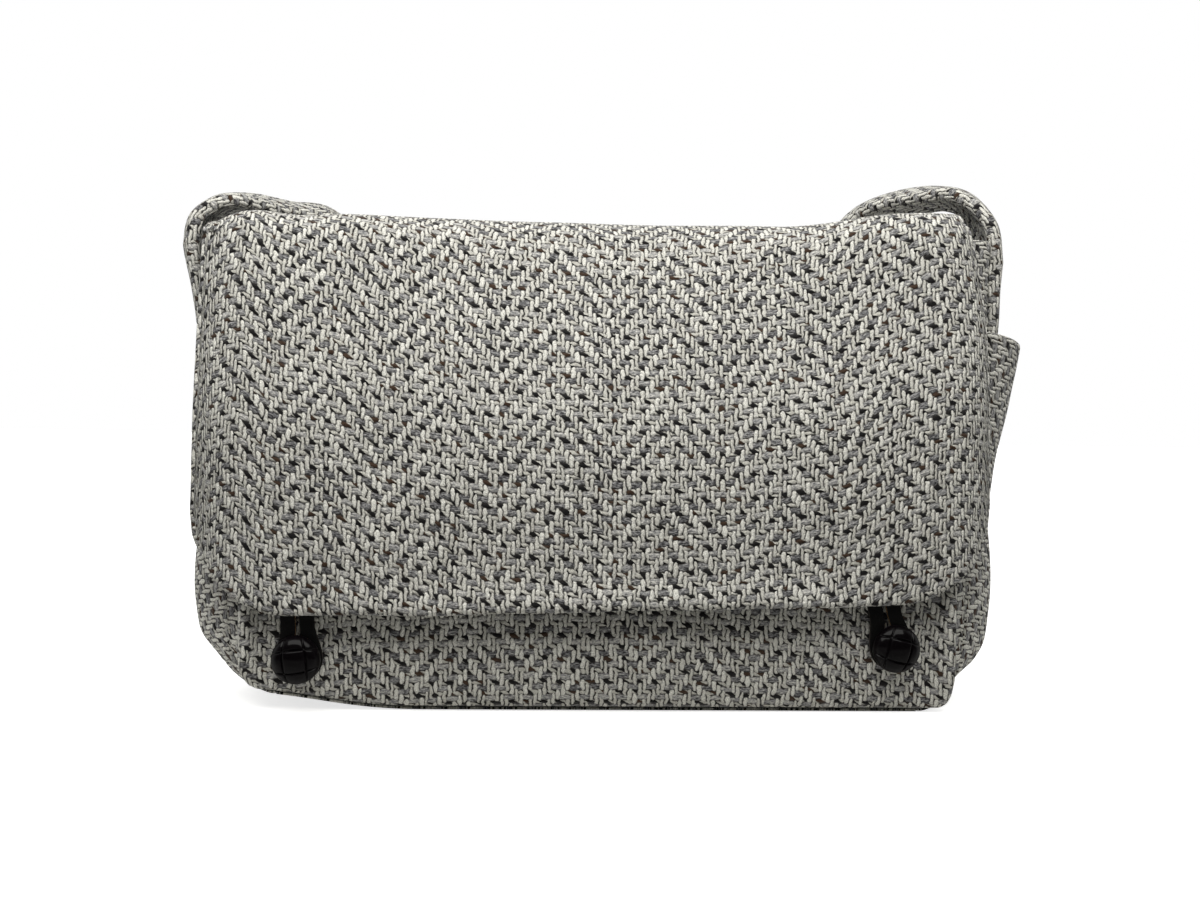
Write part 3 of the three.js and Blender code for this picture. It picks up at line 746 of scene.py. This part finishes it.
    # The thin pick is two plies, white and black, twisted together
    ply_turn = 6.5
    pick_start = add_node(tree, "TexWhiteNoise", pick, noise_dimensions="1D")
    ply = add_node(tree, "Math", ends, END_SPACING / ply_turn, pick_start, operation="MULTIPLY_ADD")
    ply = add_node(tree, "Math", in_pick, 0.45, ply, operation="MULTIPLY_ADD")
    ply_side = add_node(tree, "Math", ply, 0.5, operation="PINGPONG")
    dark_ply = add_node(tree, "MapRange", ply_side, 0.19, 0.26, 0, 1)
    brown = add_node(tree, "Math", pick_chance, 0.7, operation="GREATER_THAN")
    dark = add_node(tree, "Mix", data_type="RGBA", sockets={
        MIX_SHARE: brown, MIX_FROM: colour("#0c0a0c"), MIX_TO: colour("#3f2e22")})
    marl = add_node(tree, "Mix", data_type="RGBA", sockets={
        MIX_SHARE: dark_ply.outputs[0], MIX_FROM: colour("#c4c2ba"), MIX_TO: dark.outputs[MIX_RESULT]})
    pick_colour = add_node(tree, "Mix", data_type="RGBA", sockets={
        MIX_SHARE: is_thin, MIX_FROM: heather.outputs[0], MIX_TO: marl.outputs[MIX_RESULT]})
    yarn = add_node(tree, "Mix", data_type="RGBA", sockets={
        MIX_SHARE: end_shows.outputs[0], MIX_FROM: pick_colour.outputs[MIX_RESULT],
        MIX_TO: cream.outputs[MIX_RESULT]})
    # The dark brown is painted shade, put in the gaps between the yarns and where they sink at their edges
    woven = add_node(tree, "Mix", data_type="RGBA", sockets={
        MIX_SHARE: yarn_clear_of_painted_shade.outputs[0], MIX_FROM: colour("#221d1a"), MIX_TO: yarn.outputs[MIX_RESULT]})
    fibre_shade = add_node(tree, "MapRange", fuzz, 0.3, 0.7, 0.74, 1.24)
    woolly = add_node(tree, "Mix", data_type="RGBA", blend_type="MULTIPLY", sockets={
        MIX_SHARE: 1.0, MIX_FROM: woven.outputs[MIX_RESULT], MIX_TO: fibre_shade.outputs[0]})
    tree.links.new(woolly.outputs[MIX_RESULT], surface.inputs["Base Color"])

    # Relief of the weave, with loose fibres on it
    relief = add_node(tree, "Math", fibre, 0.5, height, operation="MULTIPLY_ADD")
    relief = add_node(tree, "Math", fuzz, 0.3, relief, operation="MULTIPLY_ADD")
    bump = add_node(tree, "Bump", sockets={"Strength": 1.0, "Distance": 0.7 * MM, "Height": relief})
    tree.links.new(bump.outputs[0], surface.inputs["Normal"])
    surface.inputs["Roughness"].default_value = 0.95
    surface.inputs["Specular IOR Level"].default_value = 0.15
    surface.inputs["Sheen Weight"].default_value = 0.12
    surface.inputs["Sheen Roughness"].default_value = 0.6
    return material


def woven_lining():
    """Cotton lining in a plain weave, dyed brown: flat and dull, with a fine check of threads, drawn at
    twice its real spacing so that it shows."""
    material, tree, surface = new_material("cotton_lining_plain_woven")
    threads = add_node(tree, "UVMap", uv_map="threads")
    spacing = 1.0
    turns = 2 * math.pi / (spacing * MM)
    place = add_node(tree, "VectorMath", threads, sockets={"Scale": turns}, operation="SCALE")
    waves = add_node(tree, "VectorMath", place, operation="SINE")
    split = add_node(tree, "SeparateXYZ", waves)
    check = add_node(tree, "Math", split.outputs["X"], split.outputs["Y"], operation="MULTIPLY")
    shade = add_node(tree, "MapRange", check, -1, 1, 0, 1)
    cloth_colour = add_node(tree, "Mix", data_type="RGBA", sockets={
        MIX_SHARE: shade.outputs[0], MIX_FROM: colour("#3b322c"), MIX_TO: colour("#54483f")})
    tree.links.new(cloth_colour.outputs[MIX_RESULT], surface.inputs["Base Color"])
    bump = add_node(tree, "Bump", sockets={"Strength": 0.5, "Distance": 0.2 * MM, "Height": check})
    tree.links.new(bump.outputs[0], surface.inputs["Normal"])
    surface.inputs["Roughness"].default_value = 0.85
    return material


def polished_leather():
    """Calf leather, dyed aubergine black and polished: glossy and dark, uneven in tone, with fine pores."""
    material, tree, surface = new_material("calf_leather_polished")
    place = add_node(tree, "TexCoord").outputs["Object"]
    pores = add_node(tree, "TexNoise", place, sockets={"Scale": 1 / (0.6 * MM), "Detail": 4.0})
    cloudy = add_node(tree, "TexNoise", place, sockets={"Scale": 1 / (6 * MM), "Detail": 2.0})
    skin = add_node(tree, "Mix", data_type="RGBA", sockets={
        MIX_SHARE: cloudy, MIX_FROM: colour("#030203"), MIX_TO: colour("#0b070a")})
    tree.links.new(skin.outputs[MIX_RESULT], surface.inputs["Base Color"])
    gloss = add_node(tree, "MapRange", pores, 0.3, 0.7, 0.3, 0.45)
    tree.links.new(gloss.outputs[0], surface.inputs["Roughness"])
    bump = add_node(tree, "Bump", sockets={"Strength": 0.25, "Distance": 0.15 * MM, "Height": pores})
    tree.links.new(bump.outputs[0], surface.inputs["Normal"])
    surface.inputs["Specular IOR Level"].default_value = 0.03
    surface.inputs["Coat Weight"].default_value = 0.2
    surface.inputs["Coat Roughness"].default_value = 0.08
    return material


def black_leather():
    """Cowhide, dyed black and left matt: dull and uneven in tone, with a fine pebbled grain."""
    material, tree, surface = new_material("cowhide_black_matt")
    place = add_node(tree, "TexCoord").outputs["Object"]
    grain = add_node(tree, "TexVoronoi", place, sockets={"Scale": 1 / (0.9 * MM)})
    cloudy = add_node(tree, "TexNoise", place, sockets={"Scale": 1 / (5 * MM), "Detail": 3.0})
    skin = add_node(tree, "Mix", data_type="RGBA", sockets={
        MIX_SHARE: cloudy, MIX_FROM: colour("#040404"), MIX_TO: colour("#0d0c0c")})
    tree.links.new(skin.outputs[MIX_RESULT], surface.inputs["Base Color"])
    bump = add_node(tree, "Bump", sockets={"Strength": 0.35, "Distance": 0.2 * MM, "Height": grain})
    tree.links.new(bump.outputs[0], surface.inputs["Normal"])
    surface.inputs["Roughness"].default_value = 0.55
    surface.inputs["Specular IOR Level"].default_value = 0.12
    return material


def cut_leather():
    """The raw cut edge of that cowhide: dark outside, and tan with a fibrous look towards the slit."""
    material, tree, surface = new_material("cowhide_cut_edge")
    threads = add_node(tree, "UVMap", uv_map="threads")
    split = add_node(tree, "SeparateXYZ", threads)
    inner = add_node(tree, "MapRange", split.outputs["X"], 0, 0.001, 0, 1)
    place = add_node(tree, "TexCoord").outputs["Object"]
    fibres = add_node(tree, "TexNoise", place, sockets={"Scale": 1 / (0.7 * MM), "Detail": 3.0})
    tan = add_node(tree, "Mix", data_type="RGBA", sockets={
        MIX_SHARE: fibres, MIX_FROM: colour("#6d5233"), MIX_TO: colour("#a5855a")})
    edge = add_node(tree, "Mix", data_type="RGBA", sockets={
        MIX_SHARE: inner.outputs[0], MIX_FROM: colour("#241a15"), MIX_TO: tan.outputs[MIX_RESULT]})
    tree.links.new(edge.outputs[MIX_RESULT], surface.inputs["Base Color"])
    surface.inputs["Roughness"].default_value = 0.8
    return material


def waxed_thread():
    """Linen button thread, waxed: dull dark strands wound round and round."""
    material, tree, surface = new_material("linen_thread_waxed")
    place = add_node(tree, "TexCoord").outputs["Object"]
    # A turn every 3 mm, coarser than the real thread's so that it shows
    turns = add_node(tree, "TexWave", place, sockets={"Scale": 100.0, "Distortion": 1.0},
                     bands_direction="Y")
    strand = add_node(tree, "Mix", data_type="RGBA", sockets={
        MIX_SHARE: turns, MIX_FROM: colour("#1b1816"), MIX_TO: colour("#3a342f")})
    tree.links.new(strand.outputs[MIX_RESULT], surface.inputs["Base Color"])
    surface.inputs["Roughness"].default_value = 0.7
    return material


def pressed_board():
    """Fibreboard, pressed: flat brown, mottled by its fibres."""
    material, tree, surface = new_material("fibreboard_pressed")
    place = add_node(tree, "TexCoord").outputs["Object"]
    fibres = add_node(tree, "TexNoise", place, sockets={"Scale": 1 / (4 * MM), "Detail": 6.0})
    board = add_node(tree, "Mix", data_type="RGBA", sockets={
        MIX_SHARE: fibres, MIX_FROM: colour("#6f5a40"), MIX_TO: colour("#9c8463")})
    tree.links.new(board.outputs[MIX_RESULT], surface.inputs["Base Color"])
    surface.inputs["Roughness"].default_value = 0.9
    return material


tweed = woven_tweed()
lining = woven_lining()
button_leather = polished_leather()
loop_leather = black_leather()
loop_edge = cut_leather()
thread = waxed_thread()
board = pressed_board()


# Making pieces

def laid_grid(surface, columns, rows, turned=False, straight=False, shift=(0.0, 0.0), rolled="",
              radius=SEAM_ROLL):
    """A fine grid laid on a surface, with a map of the places of its threads, in metres.
    Ends run up the surface, or across it where the cloth is turned. On a straight band, picks run
    square across. The edges named in rolled are turned under."""
    points = [[surface(i / columns, j / rows) for i in range(columns + 1)] for j in range(rows + 1)]
    middle = columns // 2
    across = [[0.0] * (columns + 1) for _ in range(rows + 1)]
    along = [[0.0] * (columns + 1) for _ in range(rows + 1)]
    for j in range(rows + 1):
        for i in range(middle + 1, columns + 1):
            across[j][i] = across[j][i - 1] + (points[j][i] - points[j][i - 1]).length
        for i in range(middle - 1, -1, -1):
            across[j][i] = across[j][i + 1] - (points[j][i] - points[j][i + 1]).length
    for j in range(rows - 1, -1, -1):
        for i in range(columns + 1):
            column = middle if straight else i
            along[j][i] = along[j + 1][column] - (points[j][column] - points[j + 1][column]).length
    shape = bmesh.new()
    bmesh.ops.create_grid(shape, x_segments=columns, y_segments=rows, size=0.5)
    threads = shape.loops.layers.uv.new("threads")
    for face in shape.faces:
        for corner in face.loops:
            i = round((corner.vert.co.x + 0.5) * columns)
            j = round((corner.vert.co.y + 0.5) * rows)
            place = (along[j][i], across[j][i]) if turned else (across[j][i], along[j][i])
            corner[threads].uv = ((place[0] + shift[0]) * MM, (place[1] + shift[1]) * MM)
    spots = {}
    for vert in shape.verts:
        i = round((vert.co.x + 0.5) * columns)
        j = round((vert.co.y + 0.5) * rows)
        vert.co = points[j][i] * MM
        spots[vert] = (i, j)
    borders = {"left": (0, 0), "right": (0, columns), "bottom": (1, 0), "top": (1, rows)}
    edges = set()
    for name in rolled.split():
        axis, line = borders[name]
        edges.update(e for e in shape.edges if all(spots[vert][axis] == line for vert in e.verts))
    if edges:
        roll_edges(shape, edges, radius)
    return shape


def roll_edges(shape, edges, radius):
    """Turns cloth edges under round a small radius, and carries their threads with them."""
    threads = shape.loops.layers.uv["threads"]
    rim = set(edges)
    old = {vert for edge in rim for vert in edge.verts}
    shape.normal_update()
    root = {vert: vert for vert in old}
    start, inward, out = {}, {}, {}
    map_start, map_out = {}, {}
    for vert in old:
        start[vert] = vert.co.copy()
        inward[vert] = -vert.normal
        out[vert] = Vector()
        map_out[vert] = Vector((0, 0))
    for edge in rim:
        corner = edge.link_loops[0]
        inner = corner.link_loop_next.link_loop_next
        for near, far in ((corner, corner.link_loop_prev), (corner.link_loop_next, inner)):
            along = (edge.verts[1].co - edge.verts[0].co).normalized()
            away = near.vert.co - far.vert.co
            out[near.vert] += (away - along * away.dot(along)).normalized()
            map_start[near.vert] = near[threads].uv.copy()
            map_out[near.vert] += (near[threads].uv - far[threads].uv).normalized()
    steps = 6
    for step in range(1, steps + 2):
        turn = math.pi * min(step / steps, 1)
        inset = TURNED_IN * MM if step > steps else 0
        made = bmesh.ops.extrude_edge_only(shape, edges=list(rim))["geom"]
        fresh = [vert for vert in made if isinstance(vert, bmesh.types.BMVert)]
        for vert in fresh:
            before = next(edge.other_vert(vert) for edge in vert.link_edges if edge.other_vert(vert) in old)
            root[vert] = root[before]
        for vert in fresh:
            base = root[vert]
            sideways = out[base].normalized() * (radius * MM * math.sin(turn) - inset)
            vert.co = start[base] + sideways + inward[base] * radius * MM * (1 - math.cos(turn))
        for face in (face for face in made if isinstance(face, bmesh.types.BMFace)):
            for corner in face.loops:
                base = root[corner.vert]
                reach = radius * MM * turn + inset
                if corner.vert in old:
                    reach = radius * MM * math.pi * min((step - 1) / steps, 1)
                corner[threads].uv = map_start[base] + map_out[base].normalized() * reach
        old = set(fresh)
        rim = {edge for edge in made if isinstance(edge, bmesh.types.BMEdge)
               and edge.verts[0] in old and edge.verts[1] in old}


def make_piece(name, shape, materials, thickness=0.0, rounding=0.0):
    """An object from a shape, with its thickness grown inwards and its edges rounded."""
    mesh = bpy.data.meshes.new(name)
    shape.to_mesh(mesh)
    shape.free()
    mesh.shade_smooth()
    for material in materials:
        mesh.materials.append(material)
    piece = bpy.data.objects.new(name, mesh)
    bpy.context.scene.collection.objects.link(piece)
    if thickness:
        thicken = piece.modifiers.new("thickness", "SOLIDIFY")
        thicken.thickness = thickness * MM
        thicken.offset = -1
        thicken.material_offset_rim = len(materials) - 1
    if rounding:
        rounded = piece.modifiers.new("rounding", "BEVEL")
        rounded.width = rounding * MM
        rounded.segments = 3
        rounded.limit_method = "ANGLE"
        rounded.angle_limit = math.radians(50)
    return piece


def tweed_piece(name, surface, columns, rows, **grid):
    """A cloth shell with some of its edges turned under, as thick as its weave."""
    shape = laid_grid(surface, columns, rows, **grid)
    return make_piece(name, shape, [tweed], WEAVE_THICKNESS)


def tweed_band(name, face, rows):
    """A strap of folded cloth, closed round its section and at its ends."""
    section = folded_band(face, BAND_THICKNESS, STRAP_WIDTH)
    shape = laid_grid(section, 44, rows, straight=True, shift=(6.0, 0.0))
    bmesh.ops.remove_doubles(shape, verts=shape.verts, dist=0.01 * MM)
    bmesh.ops.holes_fill(shape, edges=[edge for edge in shape.edges if edge.is_boundary], sides=0)
    bmesh.ops.recalc_face_normals(shape, faces=shape.faces)
    return make_piece(name, shape, [tweed])


def sewn(piece, body, node):
    """The piece rides on a body and stands for a node."""
    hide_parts(node)
    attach(piece, body)


def lining_piece(name, surface, columns, rows, body):
    """A lining inside the cloth that has this outer surface."""
    inner = off(surface, -CLOTH - LINING_EASE)
    piece = make_piece(name, laid_grid(inner, columns, rows), [lining], LINING)
    sewn(piece, body, name.removesuffix("_cloth"))


# Body: panels, base and gussets
front_shift = (COLUMN_WIDTH - FRONT_COLUMN_AT, 0.0)
front_cloth = tweed_piece("front_panel_cloth", lifted(front_panel), 120, 90, shift=front_shift,
                          rolled="left right bottom", radius=FRONT_ROLL)
sewn(front_cloth, "bag", "front_panel")
back_cloth = tweed_piece("back_panel_cloth", back_panel, 110, 80, rolled="left right bottom")
sewn(back_cloth, "bag", "back_panel")
lining_piece("front_lining_cloth", cut_to(lifted(front_panel), 0.03, 0.97, 0.14, 1.0), 60, 50, "bag")
lining_piece("back_lining_cloth", cut_to(back_panel, 0.03, 0.97, 0.14, 0.94), 60, 50, "bag")

base_front = front_y(0, 0) + CLOTH + SEAM_GAP
base_back = back_y(0, 0) - CLOTH - SEAM_GAP
base_width = PANEL_WIDTH - 2 * CORNER_RADIUS


def base_panel(u, v):
    return Vector(((0.5 - u) * base_width, lerp(base_front, base_back, v), 0))


def base_lining(u, v):
    edge = SEAM_GAP + 2 * LINING
    width = base_width - 2 * BOARD_INSET
    top = 2 * CLOTH + 2 * SEAM_GAP + BOARD + LINING + LINING_EASE
    return Vector(((u - 0.5) * width, lerp(base_front + edge, base_back - edge, v), top))


def base_board(u, v):
    low = base_front + BOARD_INSET
    high = base_back - BOARD_INSET
    width = base_width - 2 * BOARD_INSET
    return Vector(((u - 0.5) * width, lerp(low, high, v), CLOTH + SEAM_GAP + BOARD))


sewn(tweed_piece("base_panel_cloth", lifted(base_panel), 60, 16, turned=True), "bag", "base_panel")
lining_piece("base_lining_cloth", lifted(base_lining), 40, 10, "bag")
board_shape = laid_grid(lifted(base_board), 40, 10)
stiffener = make_piece("base_board_pressed", board_shape, [board], BOARD, EDGE_ROUNDING)
sewn(stiffener, "bag", "base_board")

for side, turned_over, gape in (("right", tucked_in, RIGHT_POCKET_GAPE),
                                ("left", lambda s: lifted(mirrored(s)), LEFT_POCKET_GAPE)):
    shift = (5.0 if side == "right" else 14.0, 3.0)
    wall = tweed_piece(f"{side}_gusset_cloth", turned_over(gusset), 44, 90, turned=True, shift=shift,
                       rolled="top", radius=HEM_ROLL)
    sewn(wall, "bag", f"{side}_gusset")
    inside = cut_to(turned_over(gusset), 0.08, 0.92, 0.2, 0.93)
    lining_piece(f"{side}_gusset_lining_cloth", inside, 24, 50, "bag")
    pouch = tweed_piece(f"{side}_pocket_cloth", turned_over(pocket(gape)), 44, 70, turned=True, shift=shift,
                        rolled="top", radius=HEM_ROLL)
    sewn(pouch, "bag", f"{side}_pocket")

# Flap
flap_shift = (COLUMN_WIDTH - FLAP_COLUMN_AT, 1.2)
flap_cloth = tweed_piece("flap_cloth", flap, 130, 110, shift=flap_shift, rolled="left right bottom",
                         radius=HEM_ROLL)
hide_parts("flap_panel")
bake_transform(flap_cloth)
lining_piece("flap_lining_cloth", cut_to(flap, 0.07, 0.93, 0.035, 0.8), 70, 70, "flap")


# Closures

def button_head():
    """A woven-leather head on the plane Y = 0, rising towards -Y: a dome of puffed cells, over and
    under by turns."""
    shape = bmesh.new()
    steps = 110
    bmesh.ops.create_grid(shape, x_segments=steps, y_segments=steps, size=1.0)
    radius = BUTTON_DIAMETER / 2
    for vert in shape.verts:
        x, y = vert.co.x, vert.co.y
        disc = Vector((x * math.sqrt(1 - y * y / 2), y * math.sqrt(1 - x * x / 2)))
        reach = min(disc.length, 1)
        place = disc * radius
        rise = BUTTON_RISE * (0.28 + 0.72 * math.sqrt(max(1 - reach ** 2.2, 0)))
        bowed = [place[i] + 0.012 * place[1 - i] ** 2 * (1 if place[i] > 0 else -1) for i in (0, 1)]
        strips = [min(max(round(b / BUTTON_CELL), -1), 1) for b in bowed]
        inside = [(bowed[i] - strips[i] * BUTTON_CELL) / (BUTTON_CELL / 2) for i in (0, 1)]
        to_groove = min(abs(abs(b) - BUTTON_CELL / 2) for b in bowed)
        puff = 0.45 * (1 - min(inside[0] ** 2, 1)) * (1 - min(inside[1] ** 2, 1))
        under = 0.25 if (strips[0] + strips[1]) % 2 else 0.0
        worn = 0.85 + 0.5 * noise.noise(Vector((place.x / 6, place.y / 6, 3)))
        sunk = worn * math.exp(-((to_groove / 0.36) ** 2)) + under - puff
        vert.co = Vector((place.x, -(rise - sunk * (1 - 0.6 * reach ** 4)), place.y))
    rim = [edge for edge in shape.edges if edge.is_boundary]
    for scale, depth in ((0.9, 0.1), (0.62, 0.0)):
        made = bmesh.ops.extrude_edge_only(shape, edges=rim)
        rim = [e for e in made["geom"] if isinstance(e, bmesh.types.BMEdge)]
        for vert in {v for edge in rim for v in edge.verts}:
            flat = Vector((vert.co.x, 0, vert.co.z)).normalized() * radius * scale
            vert.co = Vector((flat.x, -depth * BUTTON_RISE, flat.z))
    bmesh.ops.edgeloop_fill(shape, edges=rim)
    bmesh.ops.recalc_face_normals(shape, faces=shape.faces)
    return shape


def loop_strip(u, v):
    """The flat leather loop in XZ, with the middle of its eye at the origin: up one leg, from the other."""
    eye = SHANK_DIAMETER / 2 + LOOP_FIT
    outer = eye + LOOP_LEG
    middle = eye + LOOP_LEG / 2
    leg = LOOP_SLIT / 2 + LOOP_LEG / 2
    neck = outer * 1.45
    side = -1 if v < 0.5 else 1
    k = 1 - abs(2 * v - 1)
    if k < 0.55:
        z = lerp(LOOP_LENGTH, neck, k / 0.55)
        centre = Vector((side * leg, 0, z))
        out = Vector((side, 0, 0))
    elif k < 0.78:
        t = (k - 0.55) / 0.23
        bend = smooth(t, 0, 1)
        centre = Vector((side * lerp(leg, middle, bend), 0, lerp(neck, 0, t)))
        out = Vector((side, 0, 0.25 * math.sin(math.pi * t))).normalized()
    else:
        angle = (k - 0.78) / 0.22 * math.pi / 2
        out = Vector((side * math.cos(angle), 0, -math.sin(angle)))
        centre = out * middle
    return centre + out * (0.5 - u) * LOOP_LEG


for side, sign, lean, slip, twist in (("right", 1, -12, -1, 14), ("left", -1, -4, 1, -7)):
    x = sign * BUTTON_SPACING / 2 + BUTTON_SHIFT
    z = BUTTON_HEIGHT + x * FLAP_TILT
    panel_y = front_y(x, z)
    head_y = panel_y - BUTTON_STANDOFF
    head = button_head()
    twisted = Matrix.Rotation(math.radians(twist), 4, "Y")
    place = Matrix.Translation(Vector((x, head_y, z)) * MM) @ twisted @ Matrix.Scale(MM, 4)
    bmesh.ops.transform(head, matrix=place, verts=head.verts)
    woven = make_piece(f"{side}_button_woven", head, [button_leather])
    sewn(woven, "bag", f"{side}_button_head")

    top_z = z + LOOP_LENGTH
    top_y = front_y(x, top_z) - lerp(FLAP_HEM_GAP, FLAP_TOP_GAP, 0.17) + 2 * SEAM_GAP + LOOP_THICKNESS / 2
    loop_y = (panel_y + head_y) / 2
    tilt = math.atan2(loop_y - top_y, LOOP_LENGTH)
    turn = Matrix.Rotation(tilt, 4, "X") @ Matrix.Rotation(math.radians(lean), 4, "Y")
    strip = laid_grid(loop_strip, 6, 120)
    set_in = Matrix.Translation(Vector((x + slip, loop_y - LOOP_THICKNESS / 2, z)) * MM) @ turn
    bmesh.ops.transform(strip, matrix=set_in, verts=strip.verts)
    loop = make_piece(f"{side}_loop_leather", strip, [loop_leather, loop_edge],
                      LOOP_THICKNESS, EDGE_ROUNDING)
    sewn(loop, "flap", f"{side}_loop")

    for node, material in ((f"{side}_button_shank", button_leather), (f"{side}_button_thread", thread)):
        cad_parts[node].data.materials.clear()
        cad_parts[node].data.materials.append(material)


# Shoulder strap
for side, turned_over, strap_side in (("right", lambda s: s, right_strap), ("left", mirrored, left_strap)):
    tab = tweed_band(f"{side}_strap_tab", turned_over(strap_side.tab), 60)
    sewn(tab, "bag", f"{side}_strap_end")
band = tweed_band("strap_band", hanging_strap, 320)
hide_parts("shoulder_strap")
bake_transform(band)


# Stage: a plain pale floor, one wide soft light and the photograph's view

def pale_floor():
    """Matt paper with a breath of tone in it, greyer in front of the bag so that it throws less light
    there. A glow that only the camera sees makes it look white all over."""
    material, tree, surface = new_material("paper_matt_white")
    place = add_node(tree, "TexCoord").outputs["Object"]
    cloudy = add_node(tree, "TexNoise", place, sockets={"Scale": 3.0})
    paper = add_node(tree, "Mix", data_type="RGBA", sockets={
        MIX_SHARE: cloudy, MIX_FROM: colour("#e4e4e2"), MIX_TO: colour("#e8e8e6")})
    split = add_node(tree, "SeparateXYZ", place)
    past_front = add_node(tree, "MapRange", split.outputs["Y"], -0.11, -0.05, 0, 1)
    toned = add_node(tree, "Mix", data_type="RGBA", sockets={
        MIX_SHARE: past_front.outputs[0], MIX_FROM: colour("#989896"), MIX_TO: paper.outputs[MIX_RESULT]})
    tree.links.new(toned.outputs[MIX_RESULT], surface.inputs["Base Color"])
    reach = add_node(tree, "VectorMath", place, operation="LENGTH")
    far = add_node(tree, "MapRange", reach.outputs["Value"], 0.1, 0.8, 0.72, 1,
                   interpolation_type="SMOOTHSTEP")
    seen = add_node(tree, "LightPath")
    glow = add_node(tree, "Math", far.outputs[0], seen.outputs["Is Camera Ray"], operation="MULTIPLY")
    tree.links.new(glow.outputs[0], surface.inputs["Emission Strength"])
    surface.inputs["Emission Color"].default_value = colour("#ffffff")
    surface.inputs["Roughness"].default_value = 0.9
    return material


floor_shape = bmesh.new()
bmesh.ops.create_grid(floor_shape, x_segments=2, y_segments=2, size=FLOOR_HALF)
floor_mesh = bpy.data.meshes.new("floor")
floor_shape.to_mesh(floor_mesh)
floor_shape.free()
floor_mesh.materials.append(pale_floor())
floor = bpy.data.objects.new("floor", floor_mesh)
bpy.context.scene.collection.objects.link(floor)

# A pale room behind and a dim one in front, under one wide soft light; the background itself is white
world = bpy.data.worlds.new("studio")
world.use_nodes = True
sky = world.node_tree
sky_place = add_node(sky, "TexCoord")
sky_split = add_node(sky, "SeparateXYZ", sky_place.outputs["Generated"])
sky_share = add_node(sky, "MapRange", sky_split.outputs["Y"], -0.3, 0.3, 0, 1)
sky_colour = add_node(sky, "Mix", data_type="RGBA", sockets={
    MIX_SHARE: sky_share.outputs[0], MIX_FROM: colour("#363532"), MIX_TO: colour("#ffffff")})
seen = add_node(sky, "LightPath")
backdrop = add_node(sky, "Mix", data_type="RGBA", sockets={
    MIX_SHARE: seen.outputs["Is Camera Ray"], MIX_FROM: sky_colour.outputs[MIX_RESULT],
    MIX_TO: colour("#ffffff")})
sky.links.new(backdrop.outputs[MIX_RESULT], sky.nodes["Background"].inputs["Color"])
bpy.context.scene.world = world

softbox_light = bpy.data.lights.new("softbox", "AREA")
softbox_light.shape = "RECTANGLE"
softbox_light.size = SOFTBOX_WIDTH
softbox_light.size_y = SOFTBOX_DEPTH
softbox_light.energy = SOFTBOX_ENERGY
softbox_light.color = colour("#fffefa")[:3]
softbox = bpy.data.objects.new("softbox", softbox_light)
softbox.location = SOFTBOX_PLACE
softbox.rotation_euler = (math.radians(SOFTBOX_TILT), 0, 0)
bpy.context.scene.collection.objects.link(softbox)

azimuth = math.radians(CAMERA_AZIMUTH)
elevation = math.radians(CAMERA_ELEVATION)
level = math.cos(elevation)
back = Vector((math.sin(azimuth) * level, -math.cos(azimuth) * level, math.sin(elevation)))
right = Vector((math.cos(azimuth), math.sin(azimuth), 0))
upright = Matrix((right, back.cross(right), back)).transposed()
rolled = upright @ Matrix.Rotation(math.radians(CAMERA_ROLL), 3, "Z")
camera_data = bpy.data.cameras.new("camera")
camera_data.lens = CAMERA_LENS
camera_data.sensor_width = 36
camera_data.sensor_fit = "HORIZONTAL"
camera = bpy.data.objects.new("camera", camera_data)
camera_place = (Vector(CAMERA_TARGET) + back * CAMERA_DISTANCE) * MM
camera.matrix_world = Matrix.Translation(camera_place) @ rolled.to_4x4()
bpy.context.scene.collection.objects.link(camera)
bpy.context.scene.camera = camera
bpy.context.scene.view_settings.view_transform = "Standard"
